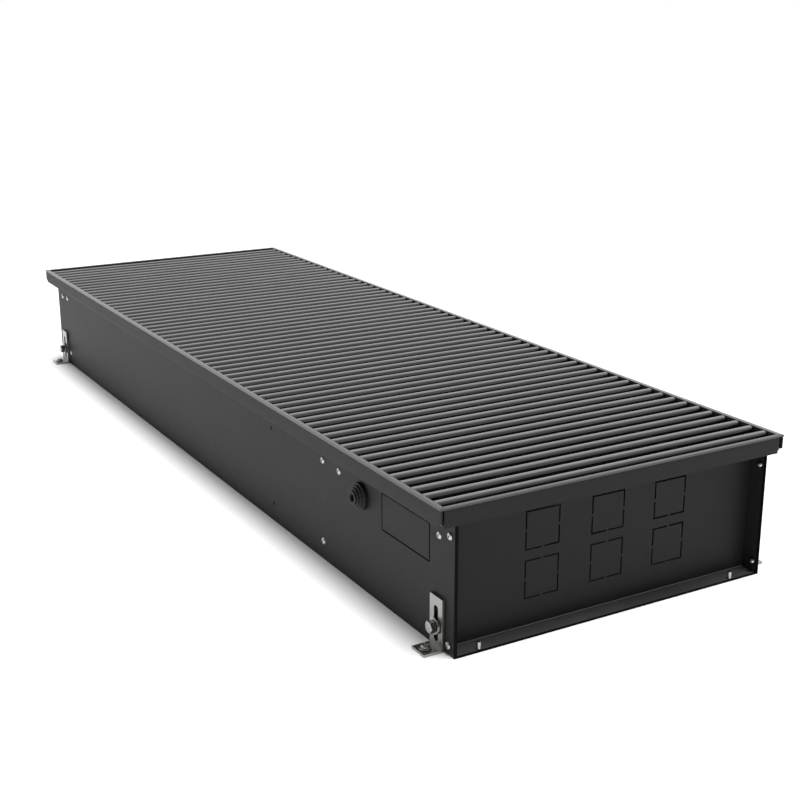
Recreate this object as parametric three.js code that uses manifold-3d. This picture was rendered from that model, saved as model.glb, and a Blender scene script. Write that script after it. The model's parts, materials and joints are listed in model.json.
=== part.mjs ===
// Trench convector heater: a sheet-metal trench for a floor channel, with an aluminium rim and a roll-up
// grille of cross bars, on four levelling brackets. Inside stand a finned-tube heat exchanger, a cross-flow
// fan, two valves and a terminal box. Millimetres; X across, Y along, Z up; the origin is the middle of the
// underside. The near end, with the pipe knockouts, is at -Y.
import * as THREE from "three";
import { mergeVertices } from "three/addons/utils/BufferGeometryUtils.js";
import Module from "manifold-3d";

const wasm = await Module();
wasm.setup();

// ---------------------------------------------------------------- driving dimensions
const LENGTH = 900;
const WIDTH = 300;
const HEIGHT = 110;
const SHEET = 1.2; // folded sheet of the trench, the end plates and the bulkheads
const FIT = 0.3; // gap kept between two pieces that touch
const RUNNING_GAP = 1; // gap round what turns

const LEDGE_INSET = 13.2; // long wall, in from the outer edge of the rim
const RIM_DROP = 13.8; // underside of the ledge, down from the top of the rim
const NEAR_WALL_SETBACK = 2.6; // near end of the long walls, in from the outer edge of the rim
const CORNER_BEVEL_Y = 7;
const CORNER_BEVEL_Z = 3.4;

const RIM_LIP = 0.5; // the rim's flange stands this far past the upstand
const RIM_FLANGE_WIDTH = 4.2;
const RIM_FLANGE_THICKNESS = 1.2;
const RIM_FOOT_WIDTH = 13.4; // from the outer edge of the rim
const RIM_FOOT_THICKNESS = 1.5;

const END_RECESS = 17; // face of an end panel, in from the outer edge of the rim
const FLANGE_SETBACK = 1; // a recess flange ends this far behind the long wall
const PANEL_FOOT = 14; // flange of an end panel that lies on the floor, behind the panel
const SKIRT_GAP_NARROW = 1.4; // corner slit between end skirt and side upstand, on one side
const SKIRT_GAP_WIDE = 3.4; // and on the other

const KNOCKOUT_SIZE = 29.2;
const KNOCKOUT_SLIT = 1.2;
const KNOCKOUT_BRIDGE = 2;
const KNOCKOUT_PITCH_X = 56.7;
const KNOCKOUT_PITCH_Z = 36.4;
const KNOCKOUT_COLUMNS = 3;
const KNOCKOUT_ROWS_BELOW_LEDGE = 23.1; // middle of the upper row
const SIDE_KNOCKOUT_FROM_END = 34.6;
const SIDE_KNOCKOUT_LENGTH = 66.2;
const SIDE_KNOCKOUT_HEIGHT = 29;
const SIDE_KNOCKOUT_BELOW_LEDGE = 23.9;
const SCORE_DEPTH = 0.8; // of the groove round the side knockout

const BAR_COUNT = 61;
const BAR_WIDTH = 6;
const BAR_ROUND_STEPS = 4;
const FIRST_BAR_FROM_END = 15.7;
const BAR_END_GAP = 0.7;
const BAR_BELOW_RIM = 0.2;
const LINK_SIZE = 2.2; // side of the square that stands for a linking spring
const LINK_FROM_SIDE = 78; // from the outer edge of the rim
const LINK_DEPTH = 6.2;
const STRIP_WIDTH = 6;
const STRIP_THICKNESS = 1.5;
const STRIP_END_GAP = 8;

const BRACKET_WIDTH = 16;
const BRACKET_HEIGHT = 38.4;
const BRACKET_THICKNESS = 2;
const BRACKET_FOOT = 16.2;
const FOOT_SCREW_OUT = 10.2; // from the back of the bracket
const BOLT_BEHIND_PANEL = 4.4; // from the back of an end panel
const SLOT_WIDTH = 5.3;
const SLOT_BOTTOM = 5.5;
const SLOT_TOP = 31.8;
const BOLT_DIAMETER = 5;
const BOLT_HEIGHT = 17;
const BOLT_HEAD_FLATS = 8;
const BOLT_HEAD_HEIGHT = 4;
const BOLT_SHANK_BEHIND_WALL = 7;
const WASHER_DIAMETER = 12.5;
const WASHER_THICKNESS = 1.6;
const PRESS_NUT_DIAMETER = 7.6;
const PRESS_NUT_THICKNESS = 5;
const FOOT_SCREW_DIAMETER = 4;
const FOOT_SCREW_HEAD = 6.4;
const FOOT_SCREW_HEAD_HEIGHT = 2;
const FOOT_WASHER_DIAMETER = 9;
const FOOT_WASHER_THICKNESS = 0.8;

const RIVET_SHANK = 3.2;
const RIVET_HEAD = 5.6;
const RIVET_HEAD_HEIGHT = 1.1;
const RIVET_TAIL = 4.2;
const RIVET_TAIL_LENGTH = 2.8;
const UPPER_RIVET_FROM_END = { left: 9.4, right: 5.8 };
const UPPER_RIVET_BELOW_LEDGE = { left: 10.3, right: 8.2 };
const LOWER_RIVET_FROM_END = { left: 10.6, right: 5.9 };
const LOWER_RIVET_HEIGHT = { left: 6.8, right: 10.2 };
const FLOOR_RIVET_FROM_WALL = { left: 19.6, right: 25.8 }; // from the inside of the long wall
const FLOOR_RIVET_FROM_END = 5;
const FLOOR_RIVET_TAIL_LENGTH = 5.8;

const NEAR_BULKHEAD_FROM_END = 185;
const FAR_BULKHEAD_FROM_END = 50;
const BULKHEAD_BELOW_LEDGE = 6.2; // upper edge
const BULKHEAD_FLANGE = 13;
const BULKHEAD_CORNER_GAP = 3;

const TUBE_DIAMETER = 15;
const TUBE_WALL = 1;
const TUBE_SIDES = 10;
const TUBE_PITCH_X = 44;
const TUBE_PITCH_Z = 32;
const TUBE_LOW_ROW = 30;
const FINS_FROM_WALL = 27.6; // from the inside of the long wall
const TUBE_PAST_BULKHEAD = 4;
const CONNECTION_TUBE_LENGTH = 26; // a lower tube, past the near bulkhead
const FIN_WIDTH = 88;
const FIN_HEIGHT = 64;
const FIN_COUNT = 23;
const FIN_THICKNESS = 1;
const FIN_END_GAP = 12;
const COLLAR_WALL = 1;
const BEND_STEPS = 7;

const VALVE_BORE = 12;
const VALVE_NUT_FLATS = 26;
const VALVE_NUT_LENGTH = 14;
const VALVE_BODY_DIAMETER = 21;
const VALVE_BODY_LENGTH = 34;
const VALVE_SOCKET_DEPTH = 9;
const BONNET_DIAMETER = 17;
const BONNET_HEIGHT = 20;
const STEM_DIAMETER = 7;
const STEM_HEIGHT = 6;
const WHEEL_DIAMETER = 30;
const WHEEL_HEIGHT = 14;
const WHEEL_CAP = 3;
const WHEEL_GRIPS = 12;
const WHEEL_GRIP_DEPTH = 1.2;

const BLEED_BOSS_FLATS = 12;
const BLEED_BOSS_HEIGHT = 8;
const BLEED_SCREW_DIAMETER = 5;
const BLEED_HEAD_FLATS = 7;
const BLEED_HEAD_HEIGHT = 5;
const BLEED_THREAD_DEPTH = 5;

const FAN_PLATES_FROM_WALL = 21.6; // from the inside of the long wall
const FAN_Z = 45;
const DRUM_DIAMETER = 52;
const DRUM_BLADES = 14;
const BLADE_DEPTH = 8;
const BLADE_THICKNESS = 0.9;
const DISC_THICKNESS = 3;
const DISC_COUNT = 3;
const DRUM_LENGTH = 470;
const FAN_START_FROM_END = 262; // outer face of the fan's near end plate
const FAN_PLATE_THICKNESS = 1.5;
const FAN_PLATE_WIDTH = 84;
const FAN_PLATE_HEIGHT = 78;
const FAN_FOOT = 12;
const SHAFT_DIAMETER = 6;
const SHAFT_CLEARANCE = 3; // round the shaft in a fan end plate
const CASING_GAP = 5; // between drum and casing
const CASING_THICKNESS = 1;
const CASING_STEPS = 14;
const CASING_START = 0.6 * Math.PI; // angles round the shaft, from +X over the top
const CASING_TURN = 0.9 * Math.PI;
const CASING_GROWTH = 3; // the gap's increase from one end of the turn to the other
const TONGUE_WIDTH = 22;
const TONGUE_LIP = 7;
const MOTOR_DIAMETER = 50;
const MOTOR_LENGTH = 46;
const MOTOR_BORE_DEPTH = 30;
const MOTOR_CAP_DIAMETER = 30;
const MOTOR_CAP_LENGTH = 8;
const BEARING_SIZE = 22;
const BEARING_LENGTH = 10;

const BOX_FROM_WALL = 7.6; // from the inside of the long wall
const BOX_FROM_END = 135;
const BOX_WIDTH = 56;
const BOX_LENGTH = 76;
const BOX_HEIGHT = 36;
const BOX_WALL = 2;
const LID_THICKNESS = 2;
const LID_LIP = 3;
const STRIP_BLOCK_WIDTH = 18;
const STRIP_BLOCK_HEIGHT = 14;
const TERMINAL_COUNT = 5;
const TERMINAL_PITCH = 10;
const TERMINAL_HOLE = 4;

const GROMMET_FROM_END = 131.3;
const GROMMET_BELOW_LEDGE = 22.7;
const GROMMET_RADII = [10.5, 8.8, 7.1, 5.4]; // of the steps, from the wall outwards
const GROMMET_ENDS = [2.6, 4.2, 5.8, 7.4]; // where each step ends, from the wall outwards
const GROMMET_BORE = 3;
const GROMMET_NECK = 8;
const GROMMET_INNER_FLANGE = 10;
const GROMMET_INNER_LENGTH = 2;

// ---------------------------------------------------------------- places worked out from them
const HALF_WIDTH = WIDTH / 2;
const HALF_LENGTH = LENGTH / 2;
const UPSTAND_OUT = HALF_WIDTH - RIM_LIP;
const UPSTAND_IN = UPSTAND_OUT - SHEET;
const WALL_OUT = HALF_WIDTH - LEDGE_INSET;
const WALL_IN = WALL_OUT - SHEET;
const NEAR_WALL_END = HALF_LENGTH - NEAR_WALL_SETBACK;
const UPSTAND_END = HALF_LENGTH - RIM_LIP;
const FAR_WALL_END = UPSTAND_END - SHEET - FIT; // behind the skirt of the far end plate
const LEDGE_BOTTOM = HEIGHT - RIM_DROP;
const LEDGE_TOP = LEDGE_BOTTOM + SHEET;
const UPSTAND_TOP = HEIGHT - RIM_FLANGE_THICKNESS - FIT;
const RIM_FOOT_TOP = LEDGE_TOP + FIT + RIM_FOOT_THICKNESS;
const STRIP_TOP = RIM_FOOT_TOP + FIT + STRIP_THICKNESS;
const LINER = WALL_IN - FIT; // outer side of whatever lies against a long wall
const FLOOR_TOP = SHEET + FIT; // underside of whatever lies on the floor
const BAR_TOP = HEIGHT - BAR_BELOW_RIM;
const BAR_BOTTOM = STRIP_TOP + FIT;
const PANEL_Y = HALF_LENGTH - END_RECESS; // outer face of an end panel
const BOLT_Y = PANEL_Y - SHEET - BOLT_BEHIND_PANEL;
const BULKHEAD_TOP = LEDGE_BOTTOM - BULKHEAD_BELOW_LEDGE;
const NEAR_BULKHEAD_Y = -HALF_LENGTH + NEAR_BULKHEAD_FROM_END;
const FAR_BULKHEAD_Y = HALF_LENGTH - FAR_BULKHEAD_FROM_END;
const EXCHANGER_X = WALL_IN - FINS_FROM_WALL - FIN_WIDTH / 2;
const TUBE_COLUMNS = [EXCHANGER_X - TUBE_PITCH_X / 2, EXCHANGER_X + TUBE_PITCH_X / 2];
const TUBE_ROWS = [TUBE_LOW_ROW, TUBE_LOW_ROW + TUBE_PITCH_Z];
const TUBE_CLEARANCE = TUBE_DIAMETER / 2 + FIT;
const TUBE_NEAR_END = NEAR_BULKHEAD_Y - TUBE_PAST_BULKHEAD;
const TUBE_FAR_END = FAR_BULKHEAD_Y + SHEET + TUBE_PAST_BULKHEAD;
const FAN_X = -(WALL_IN - FAN_PLATES_FROM_WALL - FAN_PLATE_WIDTH / 2);
const FAN_NEAR_Y = FAN_START_FROM_END - HALF_LENGTH;
const DRUM_START = FAN_NEAR_Y + FAN_PLATE_THICKNESS + 2 * RUNNING_GAP;
const FAN_FAR_Y = DRUM_START + DRUM_LENGTH + 2 * RUNNING_GAP;
const CASING_RADIUS = DRUM_DIAMETER / 2 + CASING_GAP;
const GROMMET_Z = LEDGE_BOTTOM - GROMMET_BELOW_LEDGE;
const BOX_X = -(WALL_IN - BOX_FROM_WALL - BOX_WIDTH / 2);
const SIDES = { left: -1, right: 1 };
const PAST = 1; // a cutter reaches this far past what it cuts

// ---------------------------------------------------------------- solids
function solidOf(geometry) {
  geometry.deleteAttribute("normal");
  geometry.deleteAttribute("uv");
  const merged = mergeVertices(geometry, 1e-4);
  return new wasm.Manifold(
    new wasm.Mesh({
      numProp: 3,
      vertProperties: new Float32Array(merged.attributes.position.array),
      triVerts: new Uint32Array(merged.index.array),
    }),
  );
}

function geometryOf(solid) {
  const mesh = solid.getMesh();
  const geometry = new THREE.BufferGeometry();
  geometry.setAttribute("position", new THREE.BufferAttribute(mesh.vertProperties, 3));
  geometry.setIndex(new THREE.BufferAttribute(mesh.triVerts, 1));
  geometry.computeVertexNormals();
  return geometry;
}

// A block between two corners, each an [x, y, z].
function block(low, high) {
  const size = high.map((value, i) => value - low[i]);
  const middle = high.map((value, i) => (value + low[i]) / 2);
  const geometry = new THREE.BoxGeometry(...size);
  geometry.translate(...middle);
  return solidOf(geometry);
}

// Turns a solid drawn along Z so that it runs along another axis. The outline's first coordinate becomes
// Y and its second Z for axis x; for axis y they become X and Z.
function turned(geometry, axis) {
  const basis = new THREE.Matrix4();
  const [x, y, z] = [[1, 0, 0], [0, 1, 0], [0, 0, 1]].map((v) => new THREE.Vector3(...v));
  if (axis === "x") basis.makeBasis(y, z, x);
  if (axis === "y") basis.makeBasis(x, z, y);
  geometry.applyMatrix4(basis);
  return axis === "y" ? flipped(geometry) : geometry;
}

// Turns the faces round after a mirroring change of axes.
function flipped(geometry) {
  const plain = geometry.index ? geometry.toNonIndexed() : geometry;
  const corners = plain.attributes.position;
  for (let i = 0; i < corners.count; i += 3) {
    const second = [corners.getX(i + 1), corners.getY(i + 1), corners.getZ(i + 1)];
    corners.setXYZ(i + 1, corners.getX(i + 2), corners.getY(i + 2), corners.getZ(i + 2));
    corners.setXYZ(i + 2, ...second);
  }
  return plain;
}

// An outline of [a, b] points drawn out along an axis, from one place to another.
function prism(outline, axis, from, to) {
  const shape = new THREE.Shape(outline.map(([a, b]) => new THREE.Vector2(a, b)));
  const geometry = new THREE.ExtrudeGeometry(shape, { depth: to - from, bevelEnabled: false });
  geometry.translate(0, 0, from);
  return solidOf(turned(geometry, axis));
}

// The corners of a regular outline.
function ring(radius, sides, turn = 0, centre = [0, 0]) {
  return Array.from({ length: sides }, (_, i) => {
    const angle = turn + (2 * Math.PI * i) / sides;
    return [centre[0] + radius * Math.cos(angle), centre[1] + radius * Math.sin(angle)];
  });
}

function rod(diameter, axis, centre, from, to, sides = 16) {
  return prism(ring(diameter / 2, sides, Math.PI / sides, centre), axis, from, to);
}

// A hexagonal rod; flats is the distance between two opposite sides.
function hexagon(flats, axis, centre, from, to) {
  return prism(ring(flats / Math.sqrt(3), 6, Math.PI / 6, centre), axis, from, to);
}

// A bore whose sides keep clear of a rod of that diameter with the same number of sides.
function bore(diameter, axis, centre, from, to, sides = 16) {
  return rod(diameter / Math.cos(Math.PI / sides), axis, centre, from, to, sides);
}

function joined(solids) {
  return solids.reduce((sum, solid) => sum.add(solid));
}

function cutBy(solid, cutters) {
  return cutters.reduce((rest, cutter) => rest.subtract(cutter), solid);
}

// ---------------------------------------------------------------- materials and scene
function finish(colour, roughness, metalness) {
  return new THREE.MeshStandardMaterial({ color: colour, roughness, metalness });
}

const TRENCH_PAINT = [0x37383a, 0.5, 0.3];
const ALUMINIUM = [0x9a9a98, 0.4, 0.9];
const STAINLESS = [0xb4b4b2, 0.3, 1];
const GALVANISED = [0x8f9396, 0.5, 0.9];
const COPPER = [0xb8703f, 0.35, 1];
const BRASS = [0xb59a55, 0.35, 1];
const BLACK_PLASTIC = [0x1c1c1e, 0.55, 0];
const GREY_PLASTIC = [0xb9bcbd, 0.5, 0];
const BLACK_RUBBER = [0x18181a, 0.8, 0];
const DARK_METAL = [0x2a2b2d, 0.5, 0.6];

const heater = new THREE.Group();
heater.name = "trench_convector_heater";

function add(name, solid, look, parent = heater) {
  const mesh = new THREE.Mesh(geometryOf(solid), finish(...look));
  mesh.name = name;
  parent.add(mesh);
  return mesh;
}

// ---------------------------------------------------------------- trench
// The trench's folded section, seen along Y: upstand, ledge and wall on both sides of the floor.
function trenchSection() {
  const half = [
    [WALL_OUT, 0],
    [WALL_OUT, LEDGE_BOTTOM],
    [UPSTAND_OUT, LEDGE_BOTTOM],
    [UPSTAND_OUT, UPSTAND_TOP],
    [UPSTAND_IN, UPSTAND_TOP],
    [UPSTAND_IN, LEDGE_TOP],
    [WALL_IN, LEDGE_TOP],
    [WALL_IN, SHEET],
  ];
  return [...half, ...half.map(([x, z]) => [-x, z]).reverse()];
}

// What is taken off one end of the trench: floor and walls end short of the rim, and each upstand's lower
// corner is bevelled together with the ledge.
function trenchEndCuts(end, wallEnd) {
  const beyond = HALF_LENGTH + SHEET;
  const low = Math.min(end * wallEnd, end * beyond);
  const high = Math.max(end * wallEnd, end * beyond);
  const cuts = [block([-UPSTAND_IN, low, -SHEET], [UPSTAND_IN, high, HEIGHT])];
  const bevel = [
    [end * (UPSTAND_END - CORNER_BEVEL_Y), LEDGE_BOTTOM],
    [end * UPSTAND_END, LEDGE_BOTTOM + CORNER_BEVEL_Z],
    [end * beyond, LEDGE_BOTTOM + CORNER_BEVEL_Z],
    [end * beyond, LEDGE_BOTTOM - SHEET],
    [end * (UPSTAND_END - CORNER_BEVEL_Y), LEDGE_BOTTOM - SHEET],
  ];
  cuts.push(prism(bevel, "x", WALL_OUT, HALF_WIDTH));
  cuts.push(prism(bevel, "x", -HALF_WIDTH, -WALL_OUT));
  return cuts;
}

// A slit round a knockout, drawn in its plane as an outer and an inner rectangle less the bridges that
// hold it. The place and the bridges' sides are given in the two coordinates of that plane.
function knockoutSlit(axis, from, to, [a, b], [width, height], bridges) {
  const rectangle = (grow) => {
    const [w, h] = [width / 2 + grow, height / 2 + grow];
    return [[a - w, b - h], [a + w, b - h], [a + w, b + h], [a - w, b + h]];
  };
  const slit = prism(rectangle(0), axis, from, to).subtract(
    prism(rectangle(-KNOCKOUT_SLIT), axis, from - SHEET, to + SHEET),
  );
  const bridge = ([along, up]) => {
    const middle = [a + (along * width) / 2, b + (up * height) / 2];
    const half = KNOCKOUT_BRIDGE / 2;
    const [w, h] = [along ? KNOCKOUT_SLIT * 2 : half, up ? KNOCKOUT_SLIT * 2 : half];
    const [x, y] = middle;
    const outline = [[x - w, y - h], [x + w, y - h], [x + w, y + h], [x - w, y + h]];
    return prism(outline, axis, from - SHEET, to + SHEET);
  };
  return cutBy(slit, bridges.map(bridge));
}

// The four bolt places on the long walls: [name, side, y].
function bracketPlaces() {
  return [
    ["near_left", SIDES.left, -BOLT_Y],
    ["near_right", SIDES.right, -BOLT_Y],
    ["far_left", SIDES.left, BOLT_Y],
    ["far_right", SIDES.right, BOLT_Y],
  ];
}

// The end rivets on one side: [row, [y, z]].
function endRivetPlaces(sideName) {
  const upperHeight = LEDGE_BOTTOM - UPPER_RIVET_BELOW_LEDGE[sideName];
  return [
    ["upper", [UPPER_RIVET_FROM_END[sideName] - HALF_LENGTH, upperHeight]],
    ["lower", [LOWER_RIVET_FROM_END[sideName] - HALF_LENGTH, LOWER_RIVET_HEIGHT[sideName]]],
  ];
}

function floorRivetPlace(sideName) {
  const x = WALL_IN - FLOOR_RIVET_FROM_WALL[sideName];
  return [SIDES[sideName] * x, FLOOR_RIVET_FROM_END - HALF_LENGTH];
}

// A length across the trench on one side, as an ascending pair.
function across(side, inner, outer) {
  return side > 0 ? [inner, outer] : [-outer, -inner];
}

function trenchTray() {
  let tray = prism(trenchSection(), "y", -UPSTAND_END, UPSTAND_END);
  tray = cutBy(tray, [...trenchEndCuts(-1, NEAR_WALL_END), ...trenchEndCuts(1, FAR_WALL_END)]);
  for (const [, side, y] of bracketPlaces()) {
    const nut = across(side, WALL_IN - PRESS_NUT_THICKNESS, WALL_IN + SHEET / 2);
    tray = tray.add(rod(PRESS_NUT_DIAMETER, "x", [y, BOLT_HEIGHT], ...nut));
    const hole = across(side, WALL_IN - 2 * PRESS_NUT_THICKNESS, WALL_OUT + SHEET);
    tray = tray.subtract(bore(BOLT_DIAMETER + 2 * FIT, "x", [y, BOLT_HEIGHT], ...hole));
  }
  const rivetHole = RIVET_SHANK + 2 * FIT;
  for (const [sideName, side] of Object.entries(SIDES)) {
    const span = across(side, WALL_IN - SHEET, WALL_OUT + SHEET);
    const holes = endRivetPlaces(sideName).map(([, place]) => bore(rivetHole, "x", place, ...span));
    holes.push(bore(rivetHole, "z", floorRivetPlace(sideName), -SHEET, 2 * SHEET));
    tray = cutBy(tray, holes);
  }
  const grommetPlace = [GROMMET_FROM_END - HALF_LENGTH, GROMMET_Z];
  const wall = across(SIDES.left, WALL_IN - SHEET, WALL_OUT + SHEET);
  const grommetHole = bore(2 * GROMMET_NECK + 2 * FIT, "x", grommetPlace, ...wall);
  return cutBy(tray, [sideKnockoutScore(), grommetHole]);
}

// The groove round the side knockout; it doesn't go through the wall.
function sideKnockoutScore() {
  const middle = [
    SIDE_KNOCKOUT_FROM_END + SIDE_KNOCKOUT_LENGTH / 2 - HALF_LENGTH,
    LEDGE_BOTTOM - SIDE_KNOCKOUT_BELOW_LEDGE,
  ];
  const size = [SIDE_KNOCKOUT_LENGTH, SIDE_KNOCKOUT_HEIGHT];
  return knockoutSlit("x", -WALL_OUT - SHEET, -WALL_OUT + SCORE_DEPTH, middle, size, []);
}

// ---------------------------------------------------------------- end plates
// One end plate, drawn for the near end: panel, its foot on the floor, flanges along the walls, ledge and
// skirt.
function endPlate() {
  const flangeEnd = -(NEAR_WALL_END - FLANGE_SETBACK);
  const skirtY = -UPSTAND_END;
  const plate = joined([
    block([-LINER, -PANEL_Y, FLOOR_TOP], [LINER, -PANEL_Y + SHEET, LEDGE_TOP]),
    block([-LINER, -PANEL_Y, FLOOR_TOP], [LINER, -PANEL_Y + PANEL_FOOT, FLOOR_TOP + SHEET]),
    block([-LINER, flangeEnd, FLOOR_TOP], [-LINER + SHEET, -PANEL_Y, LEDGE_TOP]),
    block([LINER - SHEET, flangeEnd, FLOOR_TOP], [LINER, -PANEL_Y, LEDGE_TOP]),
    block([-LINER, skirtY, LEDGE_BOTTOM], [LINER, -PANEL_Y, LEDGE_TOP]),
    block([-UPSTAND_IN + SKIRT_GAP_NARROW, skirtY, LEDGE_BOTTOM],
      [UPSTAND_IN - SKIRT_GAP_WIDE, skirtY + SHEET, UPSTAND_TOP]),
  ]);
  return cutBy(plate, endPlateRivetHoles());
}

function endPlateRivetHoles() {
  const diameter = RIVET_SHANK + 2 * FIT;
  return Object.entries(SIDES).flatMap(([sideName, side]) => {
    const span = across(side, LINER - 2 * SHEET, LINER + SHEET);
    return endRivetPlaces(sideName).map(([, place]) => bore(diameter, "x", place, ...span));
  });
}

function knockoutCuts() {
  const cuts = [];
  const middle = (KNOCKOUT_COLUMNS - 1) / 2;
  const upperRow = LEDGE_BOTTOM - KNOCKOUT_ROWS_BELOW_LEDGE;
  const rows = [
    [upperRow - KNOCKOUT_PITCH_Z, [[-1, 0], [1, 0], [0, -1], [0, 1]]],
    [upperRow, [[-1, 0], [1, 0], [0, -1]]],
  ];
  for (const [z, bridges] of rows) {
    for (let column = 0; column < KNOCKOUT_COLUMNS; column++) {
      const place = [(column - middle) * KNOCKOUT_PITCH_X, z];
      cuts.push(knockoutSlit("y", -PANEL_Y - SHEET, -PANEL_Y + 2 * SHEET, place,
        [KNOCKOUT_SIZE, KNOCKOUT_SIZE], bridges));
    }
  }
  return cuts;
}

// ---------------------------------------------------------------- rim and grille
// The rim's section: a lip over the upstand, a leg beside it and a foot that carries the grille. The first
// coordinate runs inwards from the rim's outer edge.
function rimSection() {
  const legOuter = RIM_LIP + SHEET + FIT;
  const footBottom = LEDGE_TOP + FIT;
  return [
    [0, HEIGHT - RIM_FLANGE_THICKNESS],
    [legOuter, HEIGHT - RIM_FLANGE_THICKNESS],
    [legOuter, footBottom],
    [RIM_FOOT_WIDTH, footBottom],
    [RIM_FOOT_WIDTH, RIM_FOOT_TOP],
    [RIM_FLANGE_WIDTH, RIM_FOOT_TOP],
    [RIM_FLANGE_WIDTH, HEIGHT],
    [0, HEIGHT],
  ];
}

// A rim profile on one side, mitred: axis is the way it runs, side the side of the heater it lies on.
function rimProfile(axis, side) {
  const [reach, half] = axis === "y" ? [HALF_WIDTH, HALF_LENGTH] : [HALF_LENGTH, HALF_WIDTH];
  const section = rimSection().map(([inwards, z]) => [side * (reach - inwards), z]);
  const profile = prism(section, axis, -half, half);
  const depth = RIM_FOOT_WIDTH + FIT;
  const gap = FIT / Math.SQRT2;
  const plan = [
    [-half + gap, side * reach],
    [half - gap, side * reach],
    [half - gap - depth, side * (reach - depth)],
    [-half + gap + depth, side * (reach - depth)],
  ];
  const flat = axis === "y" ? plan.map(([a, b]) => [b, a]) : plan;
  return profile.intersect(prism(flat, "z", 0, HEIGHT + SHEET));
}

// A bar's section: straight sides and a round top, first coordinate along Y.
function barSection(y) {
  const radius = BAR_WIDTH / 2;
  const points = [[y - radius, BAR_BOTTOM], [y + radius, BAR_BOTTOM]];
  for (let i = 0; i <= BAR_ROUND_STEPS; i++) {
    const angle = (Math.PI * i) / BAR_ROUND_STEPS;
    points.push([y + radius * Math.cos(angle), BAR_TOP - radius + radius * Math.sin(angle)]);
  }
  return points;
}

function grille() {
  const firstBar = -HALF_LENGTH + FIRST_BAR_FROM_END;
  const pitch = (-2 * firstBar) / (BAR_COUNT - 1);
  const barHalf = HALF_WIDTH - RIM_FLANGE_WIDTH - BAR_END_GAP;
  const bars = Array.from({ length: BAR_COUNT }, (_, i) =>
    prism(barSection(firstBar + i * pitch), "x", -barHalf, barHalf));
  const half = LINK_SIZE / 2;
  const linkZ = BAR_TOP - LINK_DEPTH;
  const offset = HALF_WIDTH - LINK_FROM_SIDE;
  const links = [-offset, offset].map((x) =>
    block([x - half, firstBar, linkZ - half], [x + half, -firstBar, linkZ + half]));
  return joined([...links, ...bars]);
}

function restStrip(side) {
  const end = HALF_LENGTH - RIM_FOOT_WIDTH - STRIP_END_GAP;
  const outer = HALF_WIDTH - RIM_FLANGE_WIDTH - STRIP_WIDTH / 2;
  const [low, high] = across(side, outer - STRIP_WIDTH / 2, outer + STRIP_WIDTH / 2 - FIT);
  return block([low, -end, RIM_FOOT_TOP + FIT], [high, end, STRIP_TOP]);
}

// ---------------------------------------------------------------- levelling brackets
// One bracket corner, drawn for the left wall with its own origin on the wall's outer face at floor level:
// -X points away from the heater.
function bracketCorner(name) {
  const corner = new THREE.Group();
  const back = -FIT;
  const front = back - BRACKET_THICKNESS;
  const half = BRACKET_WIDTH / 2;
  const slotEnd = SLOT_WIDTH / 2;
  const footX = back - FOOT_SCREW_OUT;
  const slot = joined([
    block([front - PAST, -slotEnd, SLOT_BOTTOM + slotEnd], [back + PAST, slotEnd, SLOT_TOP - slotEnd]),
    rod(SLOT_WIDTH, "x", [0, SLOT_BOTTOM + slotEnd], front - PAST, back + PAST),
    rod(SLOT_WIDTH, "x", [0, SLOT_TOP - slotEnd], front - PAST, back + PAST),
  ]);
  const outline = [
    [back, 0],
    [back, BRACKET_HEIGHT],
    [front, BRACKET_HEIGHT],
    [front, BRACKET_THICKNESS],
    [back - BRACKET_FOOT, BRACKET_THICKNESS],
    [back - BRACKET_FOOT, 0],
  ];
  const screwBore = FOOT_SCREW_DIAMETER + 2 * FIT;
  const screwHole = bore(screwBore, "z", [footX, 0], -PAST, BRACKET_THICKNESS + PAST, 12);
  const plate = cutBy(prism(outline, "y", -half, half), [slot, screwHole]);
  add(`levelling_bracket_${name}`, plate, STAINLESS, corner);

  const washerBack = front - FIT;
  const washerFront = washerBack - WASHER_THICKNESS;
  const axis = [0, BOLT_HEIGHT];
  const washerBore = bore(BOLT_DIAMETER + 2 * FIT, "x", axis, washerFront - PAST, washerBack + PAST, 12);
  const washer = rod(WASHER_DIAMETER, "x", axis, washerFront, washerBack).subtract(washerBore);
  add(`bracket_washer_${name}`, washer, STAINLESS, corner);

  const headBack = washerFront - FIT;
  const shankEnd = SHEET + BOLT_SHANK_BEHIND_WALL;
  const bolt = hexagon(BOLT_HEAD_FLATS, "x", axis, headBack - BOLT_HEAD_HEIGHT, headBack)
    .add(rod(BOLT_DIAMETER, "x", axis, headBack - BOLT_HEAD_HEIGHT / 2, shankEnd));
  add(`bracket_bolt_${name}`, bolt, STAINLESS, corner);

  const washerTop = BRACKET_THICKNESS + FIT + FOOT_WASHER_THICKNESS;
  const screw = joined([
    rod(FOOT_SCREW_DIAMETER, "z", [footX, 0], 0, washerTop, 12),
    rod(FOOT_WASHER_DIAMETER, "z", [footX, 0], BRACKET_THICKNESS + FIT, washerTop),
    rod(FOOT_SCREW_HEAD, "z", [footX, 0], washerTop - FIT, washerTop + FOOT_SCREW_HEAD_HEIGHT, 12),
  ]);
  add(`foot_screw_${name}`, screw, STAINLESS, corner);
  return corner;
}

function addBrackets() {
  for (const [name, side, y] of bracketPlaces()) {
    const corner = bracketCorner(name);
    corner.position.set(side * WALL_OUT, y, 0);
    corner.rotation.z = side > 0 ? Math.PI : 0;
    heater.add(corner);
  }
}

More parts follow.
